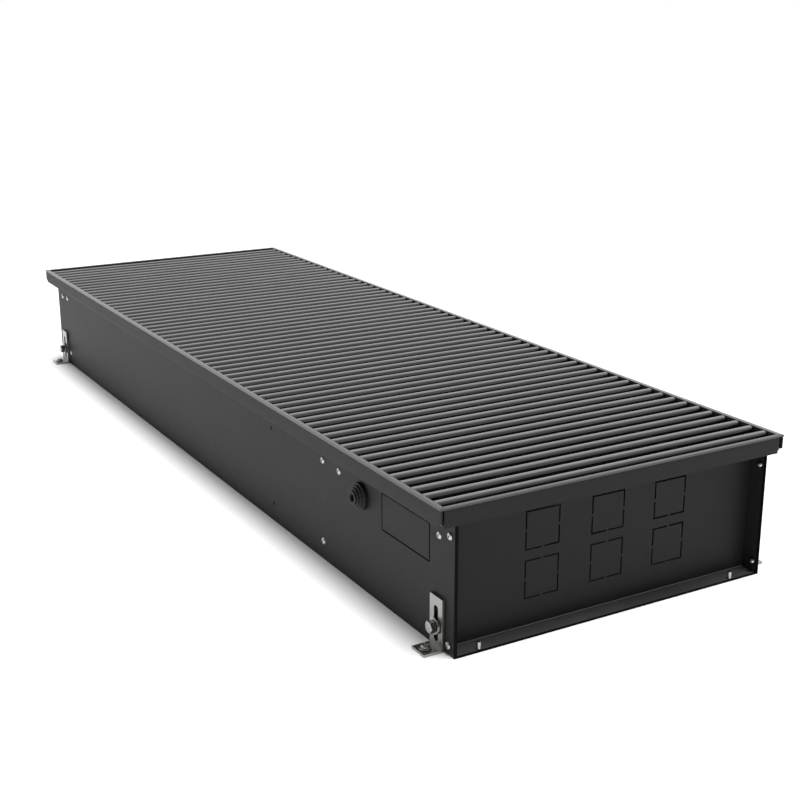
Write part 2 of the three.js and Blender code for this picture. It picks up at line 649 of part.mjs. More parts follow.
// ---------------------------------------------------------------- rivets of the near end
// A blind rivet drawn along +Z: head under the joint, shank through it, tail above.
function rivet(gripLength, tailLength) {
  const head = RIVET_HEAD / 2;
  const tail = RIVET_TAIL / 2;
  const shank = RIVET_SHANK / 2;
  const crown = -FIT - RIVET_HEAD_HEIGHT;
  const profile = [
    [0, crown],
    [(head + shank) / 2, crown + RIVET_HEAD_HEIGHT / 4],
    [head, -FIT],
    [shank, -FIT],
    [shank, gripLength + FIT],
    [tail, gripLength + FIT],
    [(tail + shank) / 2, gripLength + FIT + tailLength],
    [0, gripLength + FIT + tailLength],
  ];
  const lathe = new THREE.LatheGeometry(profile.map(([r, z]) => new THREE.Vector2(r, z)), 12);
  lathe.rotateX(Math.PI / 2);
  return solidOf(lathe);
}

function addEndRivets() {
  const grip = 2 * SHEET + FIT;
  for (const [sideName, side] of Object.entries(SIDES)) {
    for (const [row, place] of endRivetPlaces(sideName)) {
      const mesh = add(`end_rivet_${row}_${sideName}`, rivet(grip, RIVET_TAIL_LENGTH), STAINLESS);
      mesh.rotation.y = (-side * Math.PI) / 2;
      mesh.position.set(side * WALL_OUT, ...place);
    }
  }
}

// The two rivets that stand in the floor of the near recess; their heads lie flush in the underside.
function addFloorRivets() {
  for (const sideName of Object.keys(SIDES)) {
    const top = SHEET + FLOOR_RIVET_TAIL_LENGTH;
    add(`floor_rivet_${sideName}`, rod(RIVET_SHANK, "z", floorRivetPlace(sideName), 0, top, 12), STAINLESS);
  }
}

// ---------------------------------------------------------------- bulkheads
// Holes for the four tubes, through everything between two places along Y.
function tubeHoles(from, to) {
  return TUBE_COLUMNS.flatMap((x) =>
    TUBE_ROWS.map((z) => bore(2 * TUBE_CLEARANCE, "y", [x, z], from, to, TUBE_SIDES)));
}

// A cross plate with flanges along the walls and the floor. The flanges point to +Y.
function bulkhead(y) {
  const back = y + BULKHEAD_FLANGE;
  const plate = joined([
    block([-LINER, y, FLOOR_TOP], [LINER, y + SHEET, BULKHEAD_TOP]),
    block([-LINER, y, FLOOR_TOP], [-LINER + SHEET, back, BULKHEAD_TOP]),
    block([LINER - SHEET, y, FLOOR_TOP], [LINER, back, BULKHEAD_TOP]),
    block([-LINER + BULKHEAD_CORNER_GAP, y, FLOOR_TOP],
      [LINER - BULKHEAD_CORNER_GAP, back, FLOOR_TOP + SHEET]),
  ]);
  return cutBy(plate, tubeHoles(y - PAST, y + SHEET + PAST));
}

// ---------------------------------------------------------------- heat exchanger
function tube(x, z, from, to) {
  const inner = TUBE_DIAMETER - 2 * TUBE_WALL;
  return rod(TUBE_DIAMETER, "y", [x, z], from, to, TUBE_SIDES)
    .subtract(rod(inner, "y", [x, z], from - PAST, to + PAST, TUBE_SIDES));
}

class BendCurve extends THREE.Curve {
  // A half circle of the given radius round the origin, from -b over a to +b.
  constructor(radius, a, b) {
    super();
    Object.assign(this, { radius, a, b });
  }
  getPoint(t, target = new THREE.Vector3()) {
    const angle = Math.PI * (t - 0.5);
    return target.set(0, 0, 0)
      .addScaledVector(this.a, this.radius * Math.cos(angle))
      .addScaledVector(this.b, this.radius * Math.sin(angle));
  }
}

// A return bend between two tube ends: out is the way it bulges, along the way from one end to the other.
function returnBend(centre, out, along, pitch) {
  const section = (radius) => ring(radius, TUBE_SIDES, Math.PI / TUBE_SIDES)
    .map(([a, b]) => new THREE.Vector2(a, b));
  const shape = new THREE.Shape(section(TUBE_DIAMETER / 2));
  shape.holes.push(new THREE.Path(section(TUBE_DIAMETER / 2 - TUBE_WALL)));
  const curve = new BendCurve(pitch / 2, new THREE.Vector3(...out), new THREE.Vector3(...along));
  const geometry = new THREE.ExtrudeGeometry(shape, { steps: BEND_STEPS, extrudePath: curve });
  geometry.translate(...centre);
  return solidOf(geometry);
}

function addExchanger() {
  const [leftX, rightX] = TUBE_COLUMNS;
  const [low, high] = TUBE_ROWS;
  const connectionEnd = NEAR_BULKHEAD_Y - CONNECTION_TUBE_LENGTH;
  add("supply_tube", tube(leftX, low, connectionEnd, TUBE_FAR_END), COPPER);
  add("return_tube", tube(rightX, low, connectionEnd, TUBE_FAR_END), COPPER);
  add("upper_tube_left", tube(leftX, high, TUBE_NEAR_END, TUBE_FAR_END), COPPER);
  add("upper_tube_right", tube(rightX, high, TUBE_NEAR_END, TUBE_FAR_END), COPPER);
  const farBend = (x) =>
    returnBend([x, TUBE_FAR_END + FIT, (low + high) / 2], [0, 1, 0], [0, 0, 1], TUBE_PITCH_Z);
  add("far_bend_left", farBend(leftX), COPPER);
  add("far_bend_right", farBend(rightX), COPPER);
  const nearBendPlace = [EXCHANGER_X, TUBE_NEAR_END - FIT, high];
  add("near_bend", returnBend(nearBendPlace, [0, -1, 0], [1, 0, 0], TUBE_PITCH_X), COPPER);
  add("fin_pack", finPack(), ALUMINIUM);
}

// Fins on a collar round each tube; each collar runs through the whole pack, as touching collars do.
function finPack() {
  const from = NEAR_BULKHEAD_Y + SHEET + FIN_END_GAP;
  const to = FAR_BULKHEAD_Y - FIN_END_GAP;
  const middle = (TUBE_ROWS[0] + TUBE_ROWS[1]) / 2;
  const pitch = (to - from - FIN_THICKNESS) / (FIN_COUNT - 1);
  const fins = Array.from({ length: FIN_COUNT }, (_, i) => {
    const y = from + i * pitch;
    return block([EXCHANGER_X - FIN_WIDTH / 2, y, middle - FIN_HEIGHT / 2],
      [EXCHANGER_X + FIN_WIDTH / 2, y + FIN_THICKNESS, middle + FIN_HEIGHT / 2]);
  });
  const half = TUBE_CLEARANCE / Math.cos(Math.PI / TUBE_SIDES) + COLLAR_WALL;
  const collars = TUBE_COLUMNS.flatMap((x) => TUBE_ROWS.map((z) =>
    block([x - half, from, z - half], [x + half, to, z + half])));
  return cutBy(joined([...collars, ...fins]), tubeHoles(from - PAST, to + PAST));
}

// ---------------------------------------------------------------- valves and bleed screw
// A straight valve with its own origin on the tube's axis at the tube's near end: the nut goes over the
// tube and the free connection points to -Y.
function valveBody() {
  const nutNear = VALVE_SOCKET_DEPTH - VALVE_NUT_LENGTH;
  const nut = hexagon(VALVE_NUT_FLATS, "y", [0, 0], nutNear, VALVE_SOCKET_DEPTH);
  const bodyFar = nutNear + PAST;
  const body = rod(VALVE_BODY_DIAMETER, "y", [0, 0], bodyFar - VALVE_BODY_LENGTH, bodyFar);
  const bonnetY = valveStemY();
  const bonnet = rod(BONNET_DIAMETER, "z", [0, bonnetY], 0, BONNET_HEIGHT);
  const stem = rod(STEM_DIAMETER, "z", [0, bonnetY], 0, BONNET_HEIGHT + STEM_HEIGHT, 12);
  const socket = bore(TUBE_DIAMETER + 2 * FIT, "y", [0, 0], -FIT, VALVE_SOCKET_DEPTH + PAST, TUBE_SIDES);
  const waterway = rod(VALVE_BORE, "y", [0, 0], bodyFar - VALVE_BODY_LENGTH - PAST, PAST, TUBE_SIDES);
  return cutBy(joined([nut, body, bonnet, stem]), [socket, waterway]);
}

function valveStemY() {
  return VALVE_SOCKET_DEPTH - VALVE_NUT_LENGTH + PAST - VALVE_BODY_LENGTH / 2;
}

// A ribbed hand wheel with its own origin at the foot of the valve's stem: hollow below, closed above.
function handWheel() {
  const floor = FIT;
  const top = floor + WHEEL_HEIGHT;
  const rim = rod(WHEEL_DIAMETER, "z", [0, 0], floor, top, 2 * WHEEL_GRIPS);
  const socket = bore(STEM_DIAMETER + 2 * FIT, "z", [0, 0], floor - PAST, top - WHEEL_CAP, 12);
  const grips = ring(WHEEL_DIAMETER / 2, WHEEL_GRIPS).map((place) =>
    rod(2 * WHEEL_GRIP_DEPTH, "z", place, floor - PAST, top + PAST, 6));
  return cutBy(rim, [socket, ...grips]);
}

function addValve(name, x) {
  const valve = new THREE.Group();
  valve.position.set(x, NEAR_BULKHEAD_Y - CONNECTION_TUBE_LENGTH, TUBE_LOW_ROW);
  heater.add(valve);
  add(`${name}_valve_body`, valveBody(), BRASS, valve);
  const wheel = add(`${name}_valve_wheel`, handWheel(), BLACK_PLASTIC, valve);
  wheel.position.set(0, valveStemY(), BONNET_HEIGHT);
}

function addBleed() {
  const bleed = new THREE.Group();
  const bendTop = TUBE_ROWS[1] + TUBE_DIAMETER / 2;
  bleed.position.set(EXCHANGER_X, TUBE_NEAR_END - FIT - TUBE_PITCH_X / 2, bendTop + FIT);
  heater.add(bleed);
  const foot = BLEED_BOSS_HEIGHT - BLEED_THREAD_DEPTH;
  const drill = bore(BLEED_SCREW_DIAMETER + 2 * FIT, "z", [0, 0], foot - FIT, BLEED_BOSS_HEIGHT + PAST, 12);
  const boss = hexagon(BLEED_BOSS_FLATS, "z", [0, 0], 0, BLEED_BOSS_HEIGHT).subtract(drill);
  add("bleed_boss", boss, BRASS, bleed);
  const under = BLEED_BOSS_HEIGHT + FIT;
  const head = hexagon(BLEED_HEAD_FLATS, "z", [0, 0], under, under + BLEED_HEAD_HEIGHT);
  const screw = rod(BLEED_SCREW_DIAMETER, "z", [0, 0], foot, under + PAST, 12).add(head);
  add("bleed_screw", screw, BRASS, bleed);
}

// ---------------------------------------------------------------- fan
// The drum: blades on a circle, held by discs.
function fanDrum() {
  const pitch = (DRUM_LENGTH - DISC_THICKNESS) / (DISC_COUNT - 1);
  const discs = Array.from({ length: DISC_COUNT }, (_, i) =>
    rod(DRUM_DIAMETER, "y", [0, 0], i * pitch, i * pitch + DISC_THICKNESS, 2 * DRUM_BLADES));
  const outer = (DRUM_DIAMETER / 2) * Math.cos(Math.PI / DRUM_BLADES);
  const blades = ring(1, DRUM_BLADES).map(([a, b]) => {
    const corner = (radius, offset) => [a * radius - b * offset, b * radius + a * offset];
    const half = BLADE_THICKNESS / 2;
    const outline = [
      corner(outer - BLADE_DEPTH, -half),
      corner(outer, -half),
      corner(outer, half),
      corner(outer - BLADE_DEPTH, half),
    ];
    return prism(outline, "y", DISC_THICKNESS / 2, DRUM_LENGTH - DISC_THICKNESS / 2);
  });
  const hole = bore(SHAFT_DIAMETER + 2 * FIT, "y", [0, 0], -PAST, DRUM_LENGTH + PAST);
  return joined([...discs, ...blades]).subtract(hole);
}

// A fan end plate with a foot on the floor; its hole lets the shaft or the bearing through.
function fanPlate(y, hole, footSide) {
  const [low, high] = [FAN_X - FAN_PLATE_WIDTH / 2, FAN_X + FAN_PLATE_WIDTH / 2];
  const back = y + FAN_PLATE_THICKNESS;
  const foot = footSide > 0 ? [y, y + FAN_FOOT] : [back - FAN_FOOT, back];
  const plate = joined([
    block([low, y, FLOOR_TOP], [high, back, FAN_PLATE_HEIGHT]),
    block([low, foot[0], FLOOR_TOP], [high, foot[1], FLOOR_TOP + FAN_PLATE_THICKNESS]),
  ]);
  return plate.subtract(bore(hole, "y", [FAN_X, FAN_Z], y - PAST, back + PAST));
}

// The casing, seen along Y: a scroll from the top of the drum round its outer side to the floor, then on
// along the floor towards the exchanger.
function casingSection() {
  const inner = [];
  const outer = [];
  for (let i = 0; i <= CASING_STEPS; i++) {
    const angle = CASING_START + (CASING_TURN * i) / CASING_STEPS;
    const grow = (CASING_GROWTH * i) / CASING_STEPS;
    const place = (radius) => [
      FAN_X + radius * Math.cos(angle),
      FAN_Z + radius * Math.sin(angle),
    ];
    inner.push(place(CASING_RADIUS + grow));
    outer.push(place(CASING_RADIUS + grow + CASING_THICKNESS));
  }
  const outlet = FAN_X + FAN_PLATE_WIDTH / 2;
  const lowest = outer[outer.length - 1][1];
  inner.push([outlet, lowest + CASING_THICKNESS]);
  outer.push([outlet, lowest]);
  return [...outer, ...inner.reverse()];
}

function casing(section) {
  return prism(section, "y", FAN_NEAR_Y + FAN_PLATE_THICKNESS + FIT, FAN_FAR_Y - FIT);
}

// The tongue, seen along Y: a strip close above the drum's discharge side, folded up along its inner edge.
function tongueSection() {
  const x = FAN_X + DRUM_DIAMETER / 2 + CASING_GAP / 2;
  const z = FAN_Z + CASING_GAP;
  const lip = TONGUE_LIP;
  return [
    [x, z],
    [x + CASING_THICKNESS, z],
    [x + CASING_THICKNESS, z + TONGUE_WIDTH - CASING_THICKNESS],
    [x + lip, z + TONGUE_WIDTH - CASING_THICKNESS],
    [x + lip, z + TONGUE_WIDTH],
    [x, z + TONGUE_WIDTH],
  ];
}

function shaftBore(from, to) {
  return bore(SHAFT_DIAMETER + 2 * FIT, "y", [FAN_X, FAN_Z], from, to);
}

function fanMotor() {
  const front = FAN_NEAR_Y - FIT;
  const back = front - MOTOR_LENGTH;
  return rod(MOTOR_DIAMETER, "y", [FAN_X, FAN_Z], back, front, 24)
    .add(rod(MOTOR_CAP_DIAMETER, "y", [FAN_X, FAN_Z], back - MOTOR_CAP_LENGTH, back + PAST))
    .subtract(shaftBore(front - MOTOR_BORE_DEPTH, front + PAST));
}

function fanBearing() {
  const from = FAN_FAR_Y + FAN_PLATE_THICKNESS + FIT;
  const half = BEARING_SIZE / 2;
  return block([FAN_X - half, from, FAN_Z - half], [FAN_X + half, from + BEARING_LENGTH, FAN_Z + half])
    .subtract(shaftBore(from - PAST, from + BEARING_LENGTH + PAST));
}

function addFan() {
  const clearHole = SHAFT_DIAMETER + 2 * SHAFT_CLEARANCE;
  const shaftFrom = FAN_NEAR_Y - FIT - MOTOR_BORE_DEPTH + RUNNING_GAP;
  const shaftTo = FAN_FAR_Y + FAN_PLATE_THICKNESS + FIT + BEARING_LENGTH;
  add("fan_plate_near", fanPlate(FAN_NEAR_Y, clearHole, -1), GALVANISED);
  add("fan_plate_far", fanPlate(FAN_FAR_Y, clearHole, 1), GALVANISED);
  add("fan_casing", casing(casingSection()), GALVANISED);
  add("fan_tongue", casing(tongueSection()), GALVANISED);
  add("fan_motor", fanMotor(), DARK_METAL);
  add("fan_bearing", fanBearing(), BLACK_PLASTIC);
  add("fan_shaft", rod(SHAFT_DIAMETER, "y", [FAN_X, FAN_Z], shaftFrom, shaftTo), STAINLESS);
  const drum = add("fan_drum", fanDrum(), DARK_METAL);
  drum.position.set(FAN_X, DRUM_START, FAN_Z);
}

// ---------------------------------------------------------------- terminal box and grommet
function addTerminalBox() {
  const box = new THREE.Group();
  box.position.set(BOX_X, BOX_FROM_END - HALF_LENGTH, FLOOR_TOP);
  heater.add(box);
  const [w, l] = [BOX_WIDTH / 2, BOX_LENGTH / 2];
  const shell = block([-w, -l, 0], [w, l, BOX_HEIGHT]).subtract(
    block([-w + BOX_WALL, -l + BOX_WALL, BOX_WALL], [w - BOX_WALL, l - BOX_WALL, BOX_HEIGHT + PAST]));
  add("terminal_box", shell, GREY_PLASTIC, box);

  const lipOut = BOX_WALL + FIT;
  const under = BOX_HEIGHT + FIT;
  const lid = block([-w, -l, under], [w, l, under + LID_THICKNESS]).add(
    block([-w + lipOut, -l + lipOut, BOX_HEIGHT - LID_LIP], [w - lipOut, l - lipOut, under + PAST]));
  add("terminal_box_lid", lid, GREY_PLASTIC, box);

  const stripLength = TERMINAL_COUNT * TERMINAL_PITCH;
  const bottom = BOX_WALL + FIT;
  const strip = block([-STRIP_BLOCK_WIDTH / 2, -stripLength / 2, bottom],
    [STRIP_BLOCK_WIDTH / 2, stripLength / 2, bottom + STRIP_BLOCK_HEIGHT]);
  const screws = Array.from({ length: TERMINAL_COUNT }, (_, i) =>
    rod(TERMINAL_HOLE, "z", [0, (i - (TERMINAL_COUNT - 1) / 2) * TERMINAL_PITCH],
      bottom + STRIP_BLOCK_HEIGHT / 2, bottom + STRIP_BLOCK_HEIGHT + PAST, 8));
  add("terminal_strip", cutBy(strip, screws), GREY_PLASTIC, box);
}

// The grommet, drawn along +Z and turned to point out of the left wall: an inner flange, a neck in the
// wall's hole and a stepped cone outside.
function grommet() {
  const neckLength = SHEET + 2 * FIT;
  const profile = [
    [GROMMET_BORE, -neckLength - GROMMET_INNER_LENGTH],
    [GROMMET_INNER_FLANGE, -neckLength - GROMMET_INNER_LENGTH],
    [GROMMET_INNER_FLANGE, -neckLength],
    [GROMMET_NECK, -neckLength],
    [GROMMET_NECK, 0],
  ];
  GROMMET_RADII.forEach((radius, i) => {
    profile.push([radius, i > 0 ? GROMMET_ENDS[i - 1] : 0]);
    profile.push([radius, GROMMET_ENDS[i]]);
  });
  profile.push([GROMMET_BORE, GROMMET_ENDS[GROMMET_ENDS.length - 1]]);
  profile.push([GROMMET_BORE, -neckLength - GROMMET_INNER_LENGTH]);
  const lathe = new THREE.LatheGeometry(profile.map(([r, z]) => new THREE.Vector2(r, z)), 16);
  lathe.rotateX(Math.PI / 2);
  lathe.rotateY(-Math.PI / 2);
  return solidOf(lathe);
}

// ---------------------------------------------------------------- the whole heater
add("trench_tray", trenchTray(), TRENCH_PAINT);
add("near_end_plate", cutBy(endPlate(), knockoutCuts()), TRENCH_PAINT);
const farEndPlate = add("far_end_plate", endPlate(), TRENCH_PAINT);
farEndPlate.rotation.z = Math.PI;
for (const [name, side] of Object.entries(SIDES)) {
  add(`rim_${name}`, rimProfile("y", side), ALUMINIUM);
  add(`rest_strip_${name}`, restStrip(side), BLACK_RUBBER);
}
add("rim_near", rimProfile("x", -1), ALUMINIUM);
add("rim_far", rimProfile("x", 1), ALUMINIUM);
add("roll_up_grille", grille(), ALUMINIUM);
addBrackets();
addEndRivets();
addFloorRivets();
add("near_bulkhead", bulkhead(NEAR_BULKHEAD_Y), GALVANISED);
add("far_bulkhead", bulkhead(FAR_BULKHEAD_Y), GALVANISED);
addExchanger();
addValve("supply", TUBE_COLUMNS[0]);
addValve("return", TUBE_COLUMNS[1]);
addBleed();
addFan();
addTerminalBox();
const grommetMesh = add("cable_grommet", grommet(), BLACK_RUBBER);
grommetMesh.position.set(-WALL_OUT - FIT, GROMMET_FROM_END - HALF_LENGTH, GROMMET_Z);

export default heater;
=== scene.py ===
"""Visible pieces of a trench convector heater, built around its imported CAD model.

Lengths are in metres, in the frame of the CAD model: X across, Y along, Z up, with the end that has the pipe
knockouts at -Y. The sizes and colours that a user would change are the properties below.
"""

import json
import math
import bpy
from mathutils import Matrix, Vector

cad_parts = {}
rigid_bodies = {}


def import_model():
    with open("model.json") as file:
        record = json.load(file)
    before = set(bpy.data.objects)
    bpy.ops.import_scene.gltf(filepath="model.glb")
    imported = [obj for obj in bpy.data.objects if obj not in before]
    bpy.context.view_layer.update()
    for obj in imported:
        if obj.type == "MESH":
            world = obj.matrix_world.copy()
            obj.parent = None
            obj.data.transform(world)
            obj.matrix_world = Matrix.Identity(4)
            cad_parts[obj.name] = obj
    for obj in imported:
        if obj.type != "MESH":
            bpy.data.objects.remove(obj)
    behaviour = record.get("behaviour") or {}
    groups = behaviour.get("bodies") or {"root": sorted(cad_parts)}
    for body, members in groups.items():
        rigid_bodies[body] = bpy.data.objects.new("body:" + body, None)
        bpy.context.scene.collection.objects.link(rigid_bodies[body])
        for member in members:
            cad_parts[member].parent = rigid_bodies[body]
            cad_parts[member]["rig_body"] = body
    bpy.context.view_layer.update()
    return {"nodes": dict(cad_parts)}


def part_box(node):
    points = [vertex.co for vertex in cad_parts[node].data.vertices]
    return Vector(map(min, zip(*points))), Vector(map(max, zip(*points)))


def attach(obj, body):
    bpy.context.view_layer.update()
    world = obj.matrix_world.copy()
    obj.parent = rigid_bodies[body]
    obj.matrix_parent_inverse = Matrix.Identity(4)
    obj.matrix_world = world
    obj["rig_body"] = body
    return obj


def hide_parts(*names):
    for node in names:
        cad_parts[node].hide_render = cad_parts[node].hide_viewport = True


bl_info = {
    "name": "Trench Convector Heater",
    "version": (1, 0, 0),
    "blender": (4, 5, 0),
    "location": "View3D > Sidebar > Heater",
    "description": "Builds the visible pieces of a trench convector heater on its CAD frame",
    "category": "Add Mesh",
}

import bmesh
import bpy
import numpy as np
from mathutils import Matrix, Vector

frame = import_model()

MM = 0.001
SIDES = {"left": -1, "right": 1}
CORNERS = {"near_left": -1, "near_right": 1, "far_left": -1, "far_right": 1}


# ---------------------------------------------------------------- properties
def length(name, description, millimetres, **more):
    return bpy.props.FloatProperty(
        name=name, description=description, default=millimetres * MM, unit="LENGTH",
        min=0.0, precision=5, **more)


def colour(name, description, red, green, blue):
    return bpy.props.FloatVectorProperty(
        name=name, description=description, default=(red, green, blue), subtype="COLOR",
        min=0.0, max=1.0)


class HeaterSizes(bpy.types.PropertyGroup):
    bar_count: bpy.props.IntProperty(
        name="Bars", description="Cross bars of the grille", default=61, min=2)
    bar_width: length("Bar width", "Width of one cross bar", 6.0)
    spring_diameter: length("Spring diameter", "Outside of a linking spring", 3.4)
    spring_wire: length("Spring wire", "Wire of a linking spring", 0.7)
    spring_offset: length("Spring offset", "From the middle line to a linking spring", 72.0)
    rivet_head: length("Rivet head", "Diameter of a blind rivet's head", 5.6)
    rivet_tail: length("Rivet tail", "Diameter of a blind rivet's tail", 4.2)
    edge: length("Sheet edge", "Rounding of the edges of folded sheet", 0.25)
    fin_pitch: length("Fin pitch", "Distance between two fins", 3.0)
    fin_thickness: length("Fin thickness", "Thickness of one fin", 0.35)
    blade_count: bpy.props.IntProperty(
        name="Fan blades", description="Curved blades of the fan drum", default=26, min=3)


class HeaterColours(bpy.types.PropertyGroup):
    paint: colour("Trench paint", "Powder coat of the trench", 0.017, 0.0172, 0.0178)
    rim: colour("Rim", "Satin coat of the rim", 0.014, 0.014, 0.0145)
    anodised: colour("Anodised", "Dark grey bars of the grille", 0.24, 0.24, 0.245)
    rubber: colour("Rubber", "Grommet and rest strips", 0.012, 0.012, 0.0125)
    stainless: colour("Stainless", "Brackets, bolts and washers", 0.36, 0.36, 0.345)
    zinc: colour("Zinc", "Galvanised bulkheads and fan housing", 0.3, 0.31, 0.32)
    fins: colour("Fins", "Graphite coat of the fins", 0.03, 0.031, 0.033)
    copper: colour("Copper", "Tubes and bends", 0.66, 0.31, 0.17)
    brass: colour("Brass", "Valves and bleed screw", 0.62, 0.46, 0.2)
    black: colour("Black plastic", "Hand wheels and bearing", 0.02, 0.02, 0.021)
    grey: colour("Grey plastic", "Terminal box", 0.42, 0.43, 0.44)


class HeaterStudio(bpy.types.PropertyGroup):
    camera_place: bpy.props.FloatVectorProperty(
        name="Camera place", description="Where the camera stands",
        default=(-0.5640, -1.1150, 0.4204), subtype="TRANSLATION", unit="LENGTH")
    camera_tilt: bpy.props.FloatProperty(
        name="Tilt", description="How far the camera looks down",
        default=math.radians(16.87), subtype="ANGLE")
    camera_heading: bpy.props.FloatProperty(
        name="Heading", description="How far the camera is turned from +Y towards +X",
        default=math.radians(30.02), subtype="ANGLE")
    camera_roll: bpy.props.FloatProperty(
        name="Roll", description="How far the camera leans to its right",
        default=math.radians(0.076), subtype="ANGLE")
    camera_lens: bpy.props.FloatProperty(
        name="Lens", description="Focal length on a 36 mm sensor", default=59.58,
        subtype="DISTANCE_CAMERA")
    sky_front: bpy.props.FloatProperty(
        name="Sky in front", description="Brightness of the studio low down at the near left", default=0.26)
    sky_back: bpy.props.FloatProperty(
        name="Sky behind", description="Brightness of the studio overhead and at the far right", default=1.25)
    key: bpy.props.FloatProperty(
        name="Key", description="Strength of the soft light from above", default=3.1)
    key_spread: bpy.props.FloatProperty(
        name="Key spread", description="Angle that the soft light fills", default=math.radians(20),
        subtype="ANGLE")


GROUPS = {"heater_sizes": HeaterSizes, "heater_colours": HeaterColours, "heater_studio": HeaterStudio}


# ---------------------------------------------------------------- surfaces
def volume_sixfold(points, faces):
    """Six times the volume inside: the sum of a . (b x c) over each face's fan of triangles."""
    total = 0.0
    for group in faces:
        corners = points[group]
        total += (corners[:, :1] * np.cross(corners[:, 1:-1], corners[:, 2:])).sum()
    return total


def skin(rings, closed=False):
    """A closed surface over a grid of points: rings[i, j] is point j of ring i. Each quad joins two
    neighbouring points of a ring to the same two of the next ring. A closed run of rings returns to its
    first one, and an open run gets a flat face at each end. Faces are turned to point outwards."""
    rings = np.asarray(rings, float)
    count, around = rings.shape[:2]
    index = np.arange(count * around).reshape(count, around)
    here = index if closed else index[:-1]
    there = np.roll(index, -1, axis=0)[: len(here)]
    quads = np.stack([here, np.roll(here, -1, 1), np.roll(there, -1, 1), there], -1).reshape(-1, 4)
    faces = [quads] if closed else [quads, index[:1, ::-1], index[-1:]]
    points = rings.reshape(-1, 3)
    if volume_sixfold(points, faces) < 0:
        faces = [group[:, ::-1] for group in faces]
    return points, faces


def repeated(shell, places):
    """Copies of a shell, each moved by one of the places."""
    points, faces = shell
    places = np.asarray(places, float)
    moved = (points[None] + places[:, None]).reshape(-1, 3)
    step = len(points) * np.arange(len(places))[:, None, None]
    return moved, [(group[None] + step).reshape(-1, group.shape[1]) for group in faces]


def placed(shell, matrix):
    """A shell with every point p at R p + t of a turning matrix."""
    turn = np.array(matrix, float)
    return shell[0] @ turn[:3, :3].T + turn[:3, 3], shell[1]


def facing(direction, place):
    """The matrix that takes local Z to a direction and the local origin to a place, with local Y as near
    world Z as it can be, or world Y where the direction is upright."""
    z = Vector(direction).normalized()
    upright = Vector((0, 1, 0)) if abs(z.z) > 0.9 else Vector((0, 0, 1))
    x = upright.cross(z).normalized()
    turn = Matrix((x, z.cross(x), z)).transposed().to_4x4()
    turn.translation = Vector(place)
    return turn


def circle(sides, phase=0.0):
    """Unit vectors at equal angles, as two arrays."""
    angle = phase + np.linspace(0, 2 * np.pi, sides, endpoint=False)
    return np.cos(angle), np.sin(angle)


def lathe(profile, sides=36, closed=False):
    """A profile of (radius, height) points turned about Z: x = r cos a, y = r sin a, z = h."""
    radius, height = np.asarray(profile, float).T[..., None]
    cos, sin = circle(sides)
    return skin(np.stack(np.broadcast_arrays(radius * cos, radius * sin, height), -1), closed)


def rounded(outline, radius, steps=4):
    """A closed outline with its corners replaced by arcs. An arc's centre lies on the corner's bisector,
    radius / sin(half the angle) away, and its points turn evenly from one side's normal to the other's."""
    corner = np.asarray(outline, float)
    radius = np.broadcast_to(radius, len(corner))[:, None]
    back = np.roll(corner, 1, 0) - corner
    ahead = np.roll(corner, -1, 0) - corner
    back /= np.linalg.norm(back, axis=1, keepdims=True)
    ahead /= np.linalg.norm(ahead, axis=1, keepdims=True)
    middle = back + ahead
    middle /= np.linalg.norm(middle, axis=1, keepdims=True)
    half = np.arccos(np.clip((back * middle).sum(1, keepdims=True), -1, 1))
    centre = corner + middle * radius / np.sin(half)
    start = corner + back * radius / np.tan(half) - centre
    end = corner + ahead * radius / np.tan(half) - centre
    share = np.linspace(0, 1, steps + 1)[None, :, None]
    turn = (np.pi - 2 * half)[:, :, None]
    arc = (np.sin((1 - share) * turn) * start[:, None] + np.sin(share * turn) * end[:, None]) / np.sin(turn)
    return (centre[:, None] + arc).reshape(-1, 2)


def beam(section, low, high, ease):
    """A section of (y, z) points drawn out along X from low to high; the rings at both ends are drawn in
    towards the section's middle by the easing."""
    section = np.asarray(section, float)
    middle = (section.min(0) + section.max(0)) / 2
    reach = (section.max(0) - section.min(0)) / 2
    small = middle + (section - middle) * (1 - ease / reach)
    rings = []
    for x, ring in ((low, small), (low + ease, section), (high - ease, section), (high, small)):
        rings.append(np.column_stack([np.full(len(ring), x), ring]))
    return skin(rings)


def helix(centre, low, high, radius, wire, pitch, around=8, sides=5):
    """A wire wound about a line along Y: its centreline is x = r cos a, z = r sin a, y = pitch a / 2 pi.
    Each ring of the wire lies on the outward direction and on Y."""
    turns = (high - low) / pitch
    angle = np.linspace(0, 2 * np.pi * turns, int(turns * around))[:, None]
    cos, sin = circle(sides)
    reach = radius + wire * cos
    y = low + pitch * angle / (2 * np.pi) + wire * sin
    rings = np.stack([centre[0] + reach * np.cos(angle), y, centre[1] + reach * np.sin(angle)], -1)
    return skin(rings)


# ---------------------------------------------------------------- pieces
def mesh_of(name, shells):
    """One mesh of several shells."""
    points, faces, start = [], [], 0
    for shell_points, groups in shells:
        points.append(shell_points)
        for group in groups:
            faces.extend((group + start).tolist())
        start += len(shell_points)
    mesh = bpy.data.meshes.new(name)
    mesh.from_pydata(np.concatenate(points).tolist(), [], faces)
    return mesh


def finished(name, mesh, material, body, nodes=(), crease=32.0):
    """Puts a mesh in the scene as a piece that rides on a body and stands for the nodes."""
    mesh.polygons.foreach_set("use_smooth", [True] * len(mesh.polygons))
    mesh.set_sharp_from_angle(angle=math.radians(crease))
    mesh.materials.clear()
    mesh.materials.append(material)
    obj = bpy.data.objects.new(name, mesh)
    bpy.context.scene.collection.objects.link(obj)
    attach(obj, body)
    if nodes:
        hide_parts(*nodes)
    return obj


def piece(name, shells, material, body, nodes=(), crease=32.0):
    return finished(name, mesh_of(name, shells), material, body, nodes, crease)


def box_of(node):
    """The lower corner, the upper corner and the middle of a node's box."""
    low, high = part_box(node)
    return low, high, (low + high) / 2


